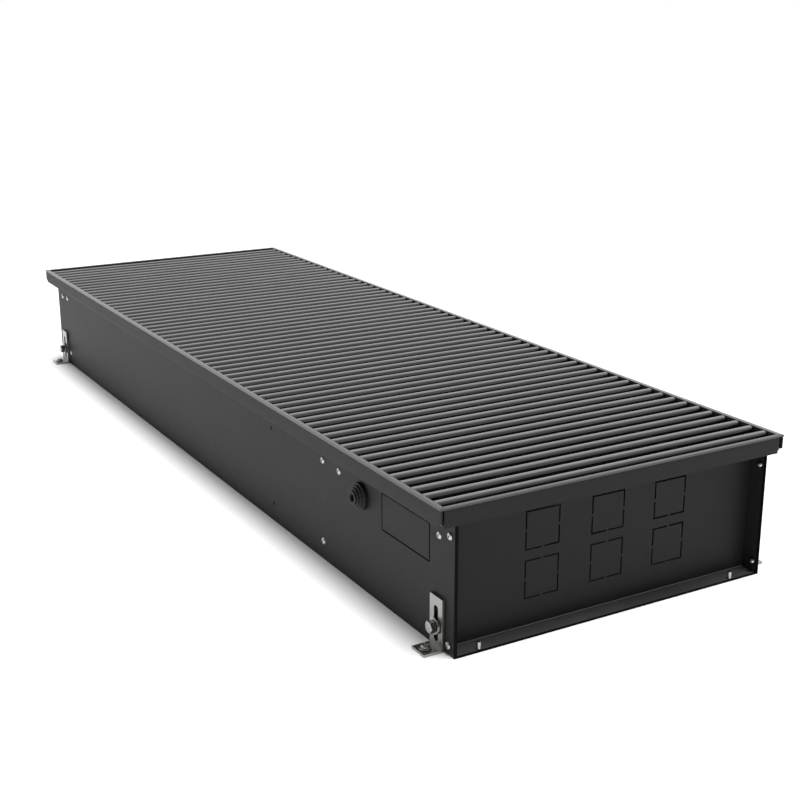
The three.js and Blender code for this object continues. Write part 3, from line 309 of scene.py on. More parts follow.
def softened(node, material, width, segments=2):
    """A CAD node's shape with its doubled points merged, its flat faces whole and its edges rounded."""
    source = frame["nodes"][node]
    mesh = source.data.copy()
    work = bmesh.new()
    work.from_mesh(mesh)
    bmesh.ops.remove_doubles(work, verts=work.verts, dist=MM / 200)
    bmesh.ops.dissolve_limit(work, angle_limit=math.radians(0.4), verts=work.verts, edges=work.edges)
    work.to_mesh(mesh)
    work.free()
    obj = finished(node + "_dressed", mesh, material, source["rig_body"], [node])
    bevel = obj.modifiers.new("edges", "BEVEL")
    bevel.width = width
    bevel.segments = segments
    bevel.limit_method = "ANGLE"
    bevel.angle_limit = math.radians(35)
    return obj


# ---------------------------------------------------------------- finishes
class Value:
    """One output of a node. An expression on values adds the Math nodes that work it out."""

    def __init__(self, finish, socket):
        self.finish = finish
        self.socket = socket

    def math(self, operation, first, second):
        return self.finish.node("ShaderNodeMath", {"operation": operation}, {0: first, 1: second})

    def __add__(self, other):
        return self.math("ADD", self, other)

    __radd__ = __add__

    def __mul__(self, other):
        return self.math("MULTIPLY", self, other)

    __rmul__ = __mul__

    def __sub__(self, other):
        return self.math("SUBTRACT", self, other)

    def __rsub__(self, other):
        return self.math("SUBTRACT", other, self)

    def __abs__(self):
        return self.math("ABSOLUTE", self, 0.0)

    def __gt__(self, other):
        return self.math("GREATER_THAN", self, other)

    def __lt__(self, other):
        return self.math("LESS_THAN", self, other)


class Finish:
    """A node material in the making."""

    def __init__(self, name, **constants):
        self.material = bpy.data.materials.new(name)
        self.material.use_nodes = True
        self.nodes = self.material.node_tree.nodes
        self.links = self.material.node_tree.links
        self.nodes.clear()
        self.shader = self.nodes.new("ShaderNodeBsdfPrincipled")
        end = self.nodes.new("ShaderNodeOutputMaterial")
        self.links.new(self.shader.outputs[0], end.inputs[0])
        for socket, value in constants.items():
            self.shader.inputs[socket.replace("_", " ")].default_value = value
        self.place = self.node("ShaderNodeTexCoord", output="Object")

    def node(self, kind, settings=None, inputs=None, output=0):
        """Adds a node: its settings first, then the values or links of its sockets."""
        made = self.nodes.new(kind)
        for key, value in (settings or {}).items():
            setattr(made, key, value)
        for key, value in (inputs or {}).items():
            self.feed(made.inputs[key], value)
        return Value(self, made.outputs[output])

    def feed(self, socket, value):
        if isinstance(value, Value):
            self.links.new(value.socket, socket)
        elif socket.type == "RGBA" and len(value) == 3:
            socket.default_value = (*value, 1.0)
        else:
            socket.default_value = value

    def stretched(self, x, y, z):
        """Object coordinates with another scale on each axis."""
        return self.node("ShaderNodeMapping", None, {"Vector": self.place, "Scale": (x, y, z)})

    def noise(self, size, detail=2.0, place=None, roughness=0.5):
        """Soft noise from 0 to 1 with patches of about that size."""
        return self.node("ShaderNodeTexNoise", None, {
            "Vector": place or self.place, "Scale": 1 / size, "Detail": detail, "Roughness": roughness})

    def lines(self, x, y, z, detail, roughness=0.5):
        """Noise drawn out into lines: it is finest along the axis with the largest scale."""
        return self.node("ShaderNodeTexNoise", None, {
            "Vector": self.stretched(x, y, z), "Scale": 1.0, "Detail": detail, "Roughness": roughness})

    def axis(self, name):
        """One of the object coordinates."""
        return self.node("ShaderNodeSeparateXYZ", None, {"Vector": self.place}, name)

    def beyond(self, axis, limit):
        """1 further than so many millimetres from the middle along an axis, and 0 nearer."""
        return abs(self.axis(axis)) > limit * MM

    def within(self, axis, limit):
        """1 nearer than so many millimetres to the middle along an axis, and 0 further off."""
        return abs(self.axis(axis)) < limit * MM

    def near(self, point, reach):
        """1 within that reach of a point, and 0 further off."""
        away = self.node("ShaderNodeVectorMath", {"operation": "DISTANCE"},
                         {0: self.place, 1: point}, "Value")
        return away < reach

    def spread(self, value, low, high):
        """A value of noise stretched so that its usual range covers low to high."""
        return self.node("ShaderNodeMapRange", None, {
            "Value": value, "From Min": 0.3, "From Max": 0.7, "To Min": low, "To Max": high})

    def mix(self, share, first, second):
        """The first colour turning into the second."""
        return self.node("ShaderNodeMix", {"data_type": "RGBA"},
                         {"Factor": share, "A": first, "B": second}, "Result")

    def set(self, **inputs):
        for socket, value in inputs.items():
            self.feed(self.shader.inputs[socket.replace("_", " ")], value)

    def bump(self, height, depth, strength=1.0):
        self.set(Normal=self.node("ShaderNodeBump", None, {
            "Strength": strength, "Distance": depth, "Height": height}))


def shade(rgb, factor):
    """A colour made lighter or darker."""
    return tuple(min(1.0, channel * factor) for channel in rgb)


# Places on the trench, in millimetres; those along X and Y count from its middle, on both sides.
WALL_OUTSIDE = 136.8
WALL_END = 446.3  # the cut ends of walls and flanges lie beyond this
WALL_FOOT = 4.0
WALL_HEAD = 95.5
CUT_PAST_WALL = 0.3  # how far the dark of a cut end reaches past the wall's face
CUT_FACES = [  # inside the thickness of a wall and of an end panel: across, from, to, other axis, its limit
    ("X", 135.75, 136.72, "Y", 446.0),
    ("Y", 431.9, 432.95, "X", 134.0),
]
PANEL_FOOT = 432.9  # where an end panel bends into its foot
BEND_WIDTH = 0.6
BEND_LOW = 1.3
BEND_HIGH = 2.1
FLOOR_TOP = 1.6  # the floor's upper face lies below this
WALL_HOLES = [(-163.1, 81.8), (-164.1, 15.7)]  # small fixing holes in the left wall: y and z
HOLE_RADIUS = 1.5

# Painted shade: the near-black tone laid on the cut faces of the sheet and in the small holes of the left
# wall.
CUT_SHADE_TONE = (0.002, 0.002, 0.002)
# Painted highlight: the pale tone laid along the bend of each end panel into its foot.
BEND_HIGHLIGHT_TONE = (0.3, 0.3, 0.3)
STRIP_PAINTED_LIGHT = 3.0  # how much paler painted light makes the floor strips outside the end panels


def painted_shade_mask(coat):
    """1 on the cut faces of the sheet and in the small holes of the left wall, where painted shade goes, and
    0 elsewhere.
    """
    dark = (coat.beyond("Y", WALL_END) * coat.within("X", WALL_OUTSIDE + CUT_PAST_WALL)
            * coat.within("Z", WALL_HEAD))
    raised = coat.beyond("Z", WALL_FOOT) * coat.within("Z", WALL_HEAD)
    for axis, near, far, other, limit in CUT_FACES:
        inside = coat.beyond(axis, near) * coat.within(axis, far) * coat.within(other, limit)
        dark = dark + inside * raised
    # painted black discs stand in for the shade inside the small holes
    for y, z in WALL_HOLES:
        dark = dark + coat.near((-WALL_OUTSIDE * MM, y * MM, z * MM), HOLE_RADIUS * MM)
    return dark


def bend_highlight_mask(coat):
    """1 along the bend of each end panel into its foot, where a painted highlight goes, and 0 elsewhere."""
    return (coat.beyond("Y", PANEL_FOOT) * coat.within("Y", PANEL_FOOT + BEND_WIDTH)
            * coat.beyond("Z", BEND_LOW) * coat.within("Z", BEND_HIGH))


def paint():
    """Satin powder coat: orange peel a millimetre across, cloudy gloss and a little settled dust. The cut
    faces of the sheet are painted near black as shade, the floor strips outside the end panels are painted
    paler as light falling on them and a painted highlight runs along the foot of each panel. The small holes
    in the left wall are painted black, as the shade inside them."""
    rgb = bpy.context.scene.heater_colours.paint
    coat = Finish("trench_paint", Specular_IOR_Level=0.14)
    cloud = coat.spread(coat.noise(0.09, 3), 0.0, 1.0)
    peel = coat.noise(0.0011, 2)
    speck = coat.noise(0.0004, 1)
    dust = coat.spread(coat.noise(0.006, 5, roughness=0.7), 0.0, 0.25)
    tone = coat.mix(cloud, shade(rgb, 0.95), shade(rgb, 1.05))
    tone = coat.mix(dust * cloud, tone, shade(rgb, 1.25))
    # painted light: the floor strips outside the end panels lie in shade under the rim and are made paler as
    # if lit from the front
    strip = coat.beyond("Y", PANEL_FOOT) * coat.within("Z", FLOOR_TOP)
    tone = coat.mix(strip * coat.spread(cloud, 0.6, 1.0), tone, shade(rgb, STRIP_PAINTED_LIGHT))
    # painted highlight along the bend of each end panel into its foot
    tone = coat.mix(bend_highlight_mask(coat), tone, BEND_HIGHLIGHT_TONE)
    # painted shade on the cut faces of the sheet and in the holes
    dark = painted_shade_mask(coat)
    coat.set(Base_Color=coat.mix(dark, tone, CUT_SHADE_TONE),
             Roughness=coat.spread(peel, 0.45, 0.55) + 0.03 * cloud + 0.4 * dark)
    coat.bump(peel + 0.3 * speck, 0.00003, 0.5)
    return coat.material


LINES_ACROSS = 4500.0  # scale of the drawing lines' noise across them and along them
LINES_ALONG = 25.0


def extruded(name, rgb, along, metallic, roughness):
    """Extruded profile, coated or anodised, with fine drawing lines along one axis."""
    metal = Finish(name, Metallic=metallic, Specular_IOR_Level=0.7)
    scale = [LINES_ACROSS] * 3
    scale["xyz".index(along)] = LINES_ALONG
    lines = metal.lines(*scale, 3.0)
    cloud = metal.noise(0.05, 2)
    tone = metal.mix(metal.spread(lines, 0.0, 1.0), shade(rgb, 0.8), shade(rgb, 1.2))
    metal.set(Base_Color=metal.mix(metal.spread(cloud, 0.0, 0.4), tone, shade(rgb, 0.85)),
              Roughness=metal.spread(lines, roughness - 0.04, roughness + 0.06))
    metal.bump(lines, 0.00001, 0.35)
    return metal.material


def brushed(name, rgb, roughness=0.3, lines=(80.0, 3800.0, 80.0), metallic=1.0):
    """Brushed metal with its lines across the axis of the largest scale."""
    metal = Finish(name, Metallic=metallic)
    grain = metal.lines(*lines, 4.0, 0.6)
    cloud = metal.noise(0.004, 3)
    tone = metal.mix(metal.spread(grain, 0.0, 1.0), shade(rgb, 0.8), shade(rgb, 1.1))
    metal.set(Base_Color=metal.mix(metal.spread(cloud, 0.0, 0.35), tone, shade(rgb, 0.7)),
              Roughness=metal.spread(grain, roughness - 0.06, roughness + 0.1))
    metal.bump(grain, 0.00002, 0.5)
    return metal.material


def rubber():
    """Matt rubber with a fine moulded grain and a dusty bloom."""
    rgb = bpy.context.scene.heater_colours.rubber
    soft = Finish("rubber", Specular_IOR_Level=0.35)
    grain = soft.noise(0.0005, 3)
    bloom = soft.spread(soft.noise(0.005, 4), 0.0, 0.5)
    soft.set(Base_Color=soft.mix(bloom, rgb, shade(rgb, 1.8)),
             Roughness=soft.spread(grain, 0.55, 0.75))
    soft.bump(grain, 0.00003, 0.6)
    return soft.material


def galvanised():
    """Zinc-coated sheet: spangle in patches with their own tone and gloss."""
    rgb = bpy.context.scene.heater_colours.zinc
    zinc = Finish("galvanised", Metallic=0.9)
    flake = zinc.node("ShaderNodeTexVoronoi", None, {"Vector": zinc.place, "Scale": 140.0}, "Color")
    tone = zinc.node("ShaderNodeSeparateColor", None, {"Color": flake})
    fine = zinc.noise(0.0015, 4)
    zinc.set(Base_Color=zinc.mix(tone, shade(rgb, 0.75), shade(rgb, 1.2)),
             Roughness=0.34 + 0.18 * tone + 0.1 * fine)
    zinc.bump(fine, 0.00002, 0.4)
    return zinc.material


def coated(name, rgb, size, roughness, depth=0.00003):
    """Painted or moulded surface with an even grain of that size."""
    coat = Finish(name)
    grain = coat.noise(size, 3)
    cloud = coat.spread(coat.noise(size * 20, 3), 0.0, 1.0)
    coat.set(Base_Color=coat.mix(cloud, shade(rgb, 0.88), shade(rgb, 1.1)),
             Roughness=coat.spread(grain, roughness - 0.05, roughness + 0.08))
    coat.bump(grain, depth, 0.5)
    return coat.material


def drawn_copper():
    """Copper tube with drawing lines along it and patches of darker oxide."""
    rgb = bpy.context.scene.heater_colours.copper
    metal = Finish("copper", Metallic=1.0)
    lines = metal.lines(2500.0, 30.0, 2500.0, 3.0)
    oxide = metal.spread(metal.noise(0.012, 4), 0.0, 0.8)
    metal.set(Base_Color=metal.mix(oxide, rgb, shade(rgb, 0.55)),
              Roughness=metal.spread(lines, 0.24, 0.36) + 0.15 * oxide)
    metal.bump(lines, 0.00001, 0.4)
    return metal.material


# ---------------------------------------------------------------- trench
def build_trench():
    sizes = bpy.context.scene.heater_sizes
    coat = paint()
    for node in ("trench_tray", "near_end_plate", "far_end_plate"):
        softened(node, coat, sizes.edge / 2)
    zinc = galvanised()
    for node in ("near_bulkhead", "far_bulkhead"):
        softened(node, zinc, sizes.edge)


# ---------------------------------------------------------------- rim and grille
RIM_LEG = (2.0, 4.2)  # outer and inner face of the leg, in from the outer edge
RIM_FLANGE = 1.2
RIM_FOOT = (97.7, 99.2)  # height of the foot's underside and top
RIM_CORNERS = (0.15, 0.15, 0.25, 0.4, 0.4, 0.25, 0.25, 0.15)  # rounding of the section's corners
RIM_ROUGHNESS = 0.24
STRIP_EDGE = 0.3
BAR_EASE = 0.4
BAR_END_EASE = 0.25
BAR_ROUGHNESS = 0.26
SPRING_DEPTH = 6.2  # from the top of the bars to a spring's middle line
SPRING_PITCH = 2.0


def rim_section(foot_end, top):
    """The rim's section: (inwards, up)."""
    foot_low, foot_high = (z * MM for z in RIM_FOOT)
    outer, inner = (d * MM for d in RIM_LEG)
    flange = top - RIM_FLANGE * MM
    outline = [(0, flange), (outer, flange), (outer, foot_low), (foot_end, foot_low),
               (foot_end, foot_high), (inner, foot_high), (inner, top), (0, top)]
    return rounded(outline, np.array(RIM_CORNERS) * MM, 3)


def rim_profile(low, high, along, side):
    """A rim profile with mitred ends: at a distance d from the outer edge, the section's point lies at
    half the length less d, so both ends run at 45 degrees."""
    section = rim_section(np.ptp([low[1 - along], high[1 - along]]), high.z)
    inwards, up = section.T
    rings = []
    for end in (-1, 1):
        run = end * (high[along] - inwards)
        across = side * (max(abs(low[1 - along]), abs(high[1 - along])) - inwards)
        columns = (across, run, up) if along == 1 else (run, across, up)
        rings.append(np.column_stack(columns))
    return skin(rings)


def build_rim():
    rgb = bpy.context.scene.heater_colours.rim
    runs = {"left": (1, -1), "right": (1, 1), "near": (0, -1), "far": (0, 1)}
    for name, (along, side) in runs.items():
        node = f"rim_{name}"
        low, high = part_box(node)
        material = extruded(f"rim_{name}_coat", rgb, "xy"[along], 0.0, RIM_ROUGHNESS)
        piece(f"{node}_profile", [rim_profile(low, high, along, side)], material, "trench",
              [node])
    soft = rubber()
    for name in SIDES:
        softened(f"rest_strip_{name}", soft, STRIP_EDGE * MM)


def bar_section(bottom, top, width):
    """A bar's section: straight sides, eased lower edges and a round top, as (y, z)."""
    radius = width / 2
    angle = np.linspace(0, np.pi, 15)
    arch = np.column_stack([radius * np.cos(angle), top - radius + radius * np.sin(angle)])
    ease = BAR_EASE * MM
    foot = [(-radius, bottom + ease), (-radius + ease, bottom), (radius - ease, bottom),
            (radius, bottom + ease)]
    return np.concatenate([arch, foot])


def build_grille():
    sizes = bpy.context.scene.heater_sizes
    low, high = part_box("roll_up_grille")
    section = bar_section(low.z, high.z, sizes.bar_width)
    bar = beam(section, low.x, high.x, BAR_END_EASE * MM)
    places = np.zeros((sizes.bar_count, 3))
    first = low.y + sizes.bar_width / 2
    places[:, 1] = np.linspace(first, -first, sizes.bar_count)
    rgb = bpy.context.scene.heater_colours.anodised
    anodised = extruded("grille_anodised", rgb, "x", 1.0, BAR_ROUGHNESS)
    piece("grille_bars", [repeated(bar, places)], anodised, "grille",
          ["roll_up_grille"])
    wire = sizes.spring_wire / 2
    radius = sizes.spring_diameter / 2 - wire
    height = high.z - SPRING_DEPTH * MM
    springs = [
        helix((side * sizes.spring_offset, height), first, -first, radius, wire, SPRING_PITCH * MM)
        for side in SIDES.values()]
    steel = brushed("spring_steel", (0.2, 0.2, 0.2), 0.4, (2000.0, 2000.0, 2000.0))
    piece("grille_springs", springs, steel, "grille")


# ---------------------------------------------------------------- levelling brackets
BOLT_FLATS = 8.0
BOLT_HEAD = 4.0
BOLT_SHANK = 5.0
WASHER_BORE = 5.6
FOOT_SCREW = 4.0
FOOT_SCREW_HEAD = 6.4
FOOT_SCREW_HEAD_HEIGHT = 2.0
FOOT_WASHER = (4.5, 9.0, 0.8)  # bore, diameter, thickness
BRACKET_EDGE = 0.25
TURNED_LINES = (900.0, 900.0, 900.0)  # scale of the fine marks on turned metal
PLAIN_STEEL = (0.5, 0.5, 0.5)
UP = (0, 0, 1)

BOLT_SIDES = 48
SCREW_SIDES = 64
THREAD_EASE = 0.5
SCREW_EASE = 0.4
HEAD_EASE = 0.1
CROWN_SHARE = 0.93  # of half the flats: the edge of a bolt head's flat top
CHAMFER = math.radians(30)
DISH = (0.62, 0.57, 0.12)  # shares of the crown at the dish's edge and bottom, depth
CROSS_HALF_WIDTH = 0.5
CROSS_REACH = 0.6  # share of the head's radius
CROSS_DEPTH = 1.1
CROSS_SOFTNESS = (0.06, 0.1)  # of the sides and of the ends of the recess


def hex_bolt(flats, head, shank, length):
    """A hexagon bolt with its head from z = 0 up. The head's ring is the hexagon's radius, flats / 2
    over the cosine of the angle from the middle of a flat, and its edge is cut back by a 30 degree cone."""
    angle = np.linspace(0, 2 * np.pi, BOLT_SIDES, endpoint=False)
    off = np.mod(angle, np.pi / 3) - np.pi / 6
    hexagon = flats / 2 / np.cos(off)
    crown = CROWN_SHARE * flats / 2
    drop = (hexagon - crown) * math.tan(CHAMFER)
    tip, ease = THREAD_EASE * MM, HEAD_EASE * MM
    mouth, bottom, depth = DISH
    cos, sin = circle(BOLT_SIDES)
    levels = [(shank / 2 - tip, -length), (shank / 2, -length + tip), (shank / 2, 0),
              (hexagon - ease, 0), (hexagon, ease), (hexagon, head - drop), (crown, head),
              (mouth * crown, head), (bottom * crown, head - depth * MM)]
    rings = [np.stack(np.broadcast_arrays(r * cos, r * sin, z), -1) for r, z in levels]
    return skin(rings)


def washer(bore, diameter, thickness):
    """A flat ring with eased edges: a rounded rectangle turned about Z."""
    inner, outer = bore / 2, diameter / 2
    outline = [(inner, 0), (outer, 0), (outer, thickness), (inner, thickness)]
    return lathe(rounded(outline, 0.2 * MM, 2), closed=True)


def pan_screw(diameter, head, head_height, length):
    """A pan-head screw with a cross recess, head from z = 0 up. The head's top is a dome, lower by the
    recess's depth where the nearer of |x| and |y| is under half the slot's width."""
    cos, sin = circle(SCREW_SIDES)
    share = np.concatenate([[0.03], np.linspace(0.12, 1, 15)])[::-1, None]
    radius = share * head / 2
    x, y = radius * cos, radius * sin
    dome = head_height * (1 - 0.32 * share**2 - 0.3 * share**10)
    side, end = (softness * MM for softness in CROSS_SOFTNESS)
    arm = 1 / (1 + np.exp((np.minimum(abs(x), abs(y)) - CROSS_HALF_WIDTH * MM) / side))
    reach = 1 / (1 + np.exp((radius - CROSS_REACH * head / 2) / end))
    z = dome - CROSS_DEPTH * MM * arm * reach * (1 - 0.5 * share)
    top = np.stack([x, y, z], -1)
    tip, ease = SCREW_EASE * MM, HEAD_EASE * MM
    below = [(diameter / 2 - tip, -length), (diameter / 2, -length + tip), (diameter / 2, 0),
             (head / 2 - ease, 0), (head / 2, ease)]
    rings = [np.stack(np.broadcast_arrays(r * cos, r * sin, h), -1) for r, h in below]
    return skin([*rings, *top])


def bracket_bolt(corner, side, steel):
    node = f"bracket_bolt_{corner}"
    low, high, middle = box_of(node)
    under = (high.x if side > 0 else low.x) - side * BOLT_HEAD * MM
    bolt = hex_bolt(BOLT_FLATS * MM, BOLT_HEAD * MM, BOLT_SHANK * MM, high.x - low.x - BOLT_HEAD * MM)
    shell = placed(bolt, facing((side, 0, 0), (under, middle.y, middle.z)))
    piece(f"hex_bolt_{corner}", [shell], steel, "trench", [node])


def bracket_washer(corner, side, steel):
    node = f"bracket_washer_{corner}"
    low, high, middle = box_of(node)
    inner = low.x if side > 0 else high.x
    ring = washer(WASHER_BORE * MM, high.z - low.z, high.x - low.x)
    shell = placed(ring, facing((side, 0, 0), (inner, middle.y, middle.z)))
    piece(f"washer_{corner}", [shell], steel, "trench", [node])


def foot_screw(corner, steel):
    """The screw in a bracket's foot with the washer under its head."""
    node = f"foot_screw_{corner}"
    low, high, middle = box_of(node)
    bore, diameter, thickness = (size * MM for size in FOOT_WASHER)
    top = high.z - FOOT_SCREW_HEAD_HEIGHT * MM
    screw = pan_screw(FOOT_SCREW * MM, FOOT_SCREW_HEAD * MM, high.z - top, top - low.z)
    shells = [placed(screw, facing(UP, (middle.x, middle.y, top))),
              placed(washer(bore, diameter, thickness), facing(UP, (middle.x, middle.y, top - thickness)))]
    piece(f"pan_screw_{corner}", shells, steel, f"bracket_{corner}", [node])


def build_brackets():
    rgb = bpy.context.scene.heater_colours.stainless
    steel = brushed("stainless", rgb)
    turned = brushed("stainless_fastener", rgb, 0.24, TURNED_LINES)
    for corner, side in CORNERS.items():
        softened(f"levelling_bracket_{corner}", steel, BRACKET_EDGE * MM)
        bracket_bolt(corner, side, turned)
        bracket_washer(corner, side, turned)
        foot_screw(corner, turned)


# ---------------------------------------------------------------- rivets and grommet
WALL_RIVETS = {  # places of the rivets that are no CAD nodes: y and z, in millimetres
    "second": (-427.1, 81.8),
    "bulkhead_high": (-257.1, 82.2),
    "bulkhead_low": (-256.2, 15.1),
    "casing": (-284.0, 81.7),
    "far_panel": (430.0, 80.3),
    "far_high": (411.0, 81.2),
    "far_low": (412.0, 14.3),
}
RIVET_HEAD_HEIGHT = 1.1
RIVET_SHANK = 3.2
RIVET_GRIP = 3.3  # from the underside of the head to the tail
RIVET_TAIL_LENGTH = 2.8
RIVET_HOLE = [(0.15, 0.45), (0.75, 0.35), (0.95, 0.3), (1.0, 1.1)]  # radius and height, in millimetres
RIVET_DOME = [(0.42, 1.12), (0.7, 0.88), (0.9, 0.46), (1.0, 0.1), (1.0, 0.0)]  # share of radius, height
RIVET_NECK = (0.92, 0.1)  # share of the tail's radius, depth in millimetres
RIVET_BARREL = [(1.0, 0.3), (0.96, 0.6), (0.7, 0.8)]  # shares of the tail's radius and length
RIVET_MANDREL = [(0.9, 0.82), (0.8, 1.0), (0.15, 1.0)]  # radius in millimetres, share of the tail's length
PIN_EASE = 0.2
PIN_DIMPLE = (0.65, 0.75, 0.5)  # radius at the bottom and at the top, depth
CENTRE_POINT = 0.15  # radius of the smallest ring about a turned piece's axis
RIVET_SIDES = 28


def blind_rivet(head, tail):
    """A blind rivet of two diameters with its head up and z = 0 on the sheet: a domed head with a hole that
    shows the mandrel, a shank through the grip and a barrel-shaped tail with the mandrel's tip."""
    grip, reach, shank = RIVET_GRIP * MM, RIVET_TAIL_LENGTH * MM, RIVET_SHANK / 2 * MM
    neck, depth = RIVET_NECK
    profile = [(radius * MM, height * MM) for radius, height in RIVET_HOLE]
    profile += [(share * head / 2, height * MM) for share, height in RIVET_DOME]
    profile += [(shank, 0), (shank, -grip), (neck * tail / 2, -grip - depth * MM)]
    profile += [(share * tail / 2, -grip - along * reach) for share, along in RIVET_BARREL]
    profile += [(radius * MM, -grip - along * reach) for radius, along in RIVET_MANDREL]
    return lathe(profile, RIVET_SIDES)


def floor_pin(radius, low, top):
    """A plain pin along Z with eased ends and a dimple in its top."""
    ease, point = PIN_EASE * MM, CENTRE_POINT * MM
    bottom, mouth, depth = (size * MM for size in PIN_DIMPLE)
    profile = [(point, low), (radius - ease, low), (radius, low + ease), (radius, top - ease),
               (radius - ease, top), (mouth, top), (bottom, top - depth), (point, top - depth)]
    return lathe(profile, RIVET_SIDES)


def build_rivets():
    sizes = bpy.context.scene.heater_sizes
    steel = brushed("rivet_steel", (0.5, 0.5, 0.49), 0.2, (700.0, 700.0, 700.0))
    rivet = blind_rivet(sizes.rivet_head, sizes.rivet_tail)
    for row in ("upper", "lower"):
        for name, side in SIDES.items():
            node = f"end_rivet_{row}_{name}"
            low, high, middle = box_of(node)
            face = (high.x if side > 0 else low.x) - side * RIVET_HEAD_HEIGHT * MM
            shell = placed(rivet, facing((side, 0, 0), (face, middle.y, middle.z)))
            piece(f"{node}_turned", [shell], steel, "trench", [node])
    for name, side in SIDES.items():
        shells = [placed(rivet, facing((side, 0, 0), (side * WALL_OUTSIDE * MM, y * MM, z * MM)))
                  for y, z in WALL_RIVETS.values()]
        piece(f"wall_rivets_{name}", shells, steel, "trench")
    for name in SIDES:
        node = f"floor_rivet_{name}"
        low, high, middle = box_of(node)
        shell = placed(floor_pin((high.x - low.x) / 2, low.z, high.z), facing(UP, (middle.x, middle.y, 0)))
        piece(f"{node}_turned", [shell], steel, "trench", [node])


GROMMET_BORE = 3.0
GROMMET_FLANGE = [(10.0, 0), (10.0, 2.0), (8.0, 2.0), (8.0, 3.8)]  # radius, distance from the inner face
GROMMET_RINGS = [(10.5, 6.4), (8.8, 8.0), (7.1, 9.6)]  # radius, outer end
GROMMET_TIP = 5.4
GROMMET_EDGE = 0.35
GROOVE_EDGE = 0.1
BORE_EDGE = 0.6


def build_grommet():
    """A stepped rubber grommet: flange, four rings that get smaller outwards, and the hole."""
    low, high, middle = box_of("cable_grommet")
    total = (high.x - low.x) / MM
    outline = [(GROMMET_BORE, 0), *GROMMET_FLANGE]
    start = outline[-1][1]
    for radius, end in (*GROMMET_RINGS, (GROMMET_TIP, total)):
        outline += [(radius, start), (radius, end)]
        start = end
    outline.append((GROMMET_BORE, total))
    edges = np.full(len(outline), GROMMET_EDGE)
    edges[3:5] = GROOVE_EDGE
    edges[[0, -1]] = BORE_EDGE
    profile = rounded(outline, edges, 3) * MM
    shell = placed(lathe(profile, 48, True), facing((-1, 0, 0), (high.x, middle.y, middle.z)))
    piece("stepped_grommet", [shell], rubber(), "trench", ["cable_grommet"])


# ---------------------------------------------------------------- heat exchanger
TUBES = ("supply_tube", "return_tube", "upper_tube_left", "upper_tube_right")
BENDS = {  # the way that a bend bulges, and the way from one of its tubes to the other
    "far_bend_left": ((0, 1, 0), (0, 0, 1)),
    "far_bend_right": ((0, 1, 0), (0, 0, 1)),
    "near_bend": ((0, -1, 0), (1, 0, 0)),
}
TUBE_RADIUS = 7.5
TUBE_WALL = 1.0
TUBE_SIDES = 28
FIN_HOLE = 7.6  # radius
FIN_HOLE_SIDES = 24


def pipe(outer, inner, low, high):
    """An open tube along Z: its wall's rectangle turned about the axis."""
    wall = [(inner, low), (outer, low), (outer, high), (inner, high)]
    return lathe(rounded(wall, 0.2 * MM, 2), TUBE_SIDES, True)


def return_bend(centre, out, along, pitch, outer, inner):
    """A half circle of tube: the torus centre + (pitch / 2 + r cos b)(out cos a + along sin a)
    + r sin b side, for a from -90 to 90 degrees; the wall runs out on one radius and back on the other."""
    out, along = np.array(out, float), np.array(along, float)
    side = np.cross(out, along)
    cos, sin = circle(TUBE_SIDES)
    rings = []
    sweep = np.linspace(-np.pi / 2, np.pi / 2, 25)
    for radius, angles in ((outer, sweep), (inner, sweep[::-1])):
        for a in angles:
            spoke = out * math.cos(a) + along * math.sin(a)
            rings.append(centre + (pitch / 2 + radius * cos[:, None]) * spoke + radius * sin[:, None] * side)
    return skin(rings, closed=True)


def fin(low, high, holes, radius, thickness):
    """One fin, with a round hole for each tube. It is made of one square field for each hole: a field's
    point is (1 - t) times the hole's circle plus t times the square's border, at the same angle."""
    shells = []
    cos, sin = circle(FIN_HOLE_SIDES, np.pi / FIN_HOLE_SIDES)
    border = np.maximum(abs(cos), abs(sin))
    mid_x, mid_z = (low[0] + high[0]) / 2, (low[1] + high[1]) / 2
    for x, z in holes:
        left, right = (mid_x, high[0]) if x > mid_x else (low[0], mid_x)
        under, over = (mid_z, high[1]) if z > mid_z else (low[1], mid_z)
        edge_x = np.where(cos > 0, right - x, x - left)
        edge_z = np.where(sin > 0, over - z, z - under)
        rings = []
        for share, y in ((0, 0), (1, 0), (1, thickness), (0, thickness)):
            reach_x = (1 - share) * radius * cos + share * edge_x * cos / border
            reach_z = (1 - share) * radius * sin + share * edge_z * sin / border
            rings.append(np.column_stack([x + reach_x, np.full(FIN_HOLE_SIDES, y), z + reach_z]))
        shells.append(skin(rings, closed=True))
    return shells


def exchanger_tubes(metal, outer, inner):
    """Makes the four tubes and gives the places of their middle lines, as (x, z)."""
    holes = []
    for node in TUBES:
        low, high, middle = box_of(node)
        holes.append((middle.x, middle.z))
        shell = placed(pipe(outer, inner, 0, high.y - low.y),
                       facing((0, 1, 0), (middle.x, low.y, middle.z)))
        piece(f"{node}_drawn", [shell], metal, "trench", [node])
    return holes


def exchanger_bends(metal, outer, inner):
    for node, (out, along) in BENDS.items():
        low, high, middle = box_of(node)
        centre = np.array(middle)
        centre[1] = low.y if out[1] > 0 else high.y
        span = (high.z - low.z) if along[2] else (high.x - low.x)
        shell = return_bend(centre, out, along, span - 2 * outer, outer, inner)
        piece(f"{node}_bent", [shell], metal, "trench", [node])


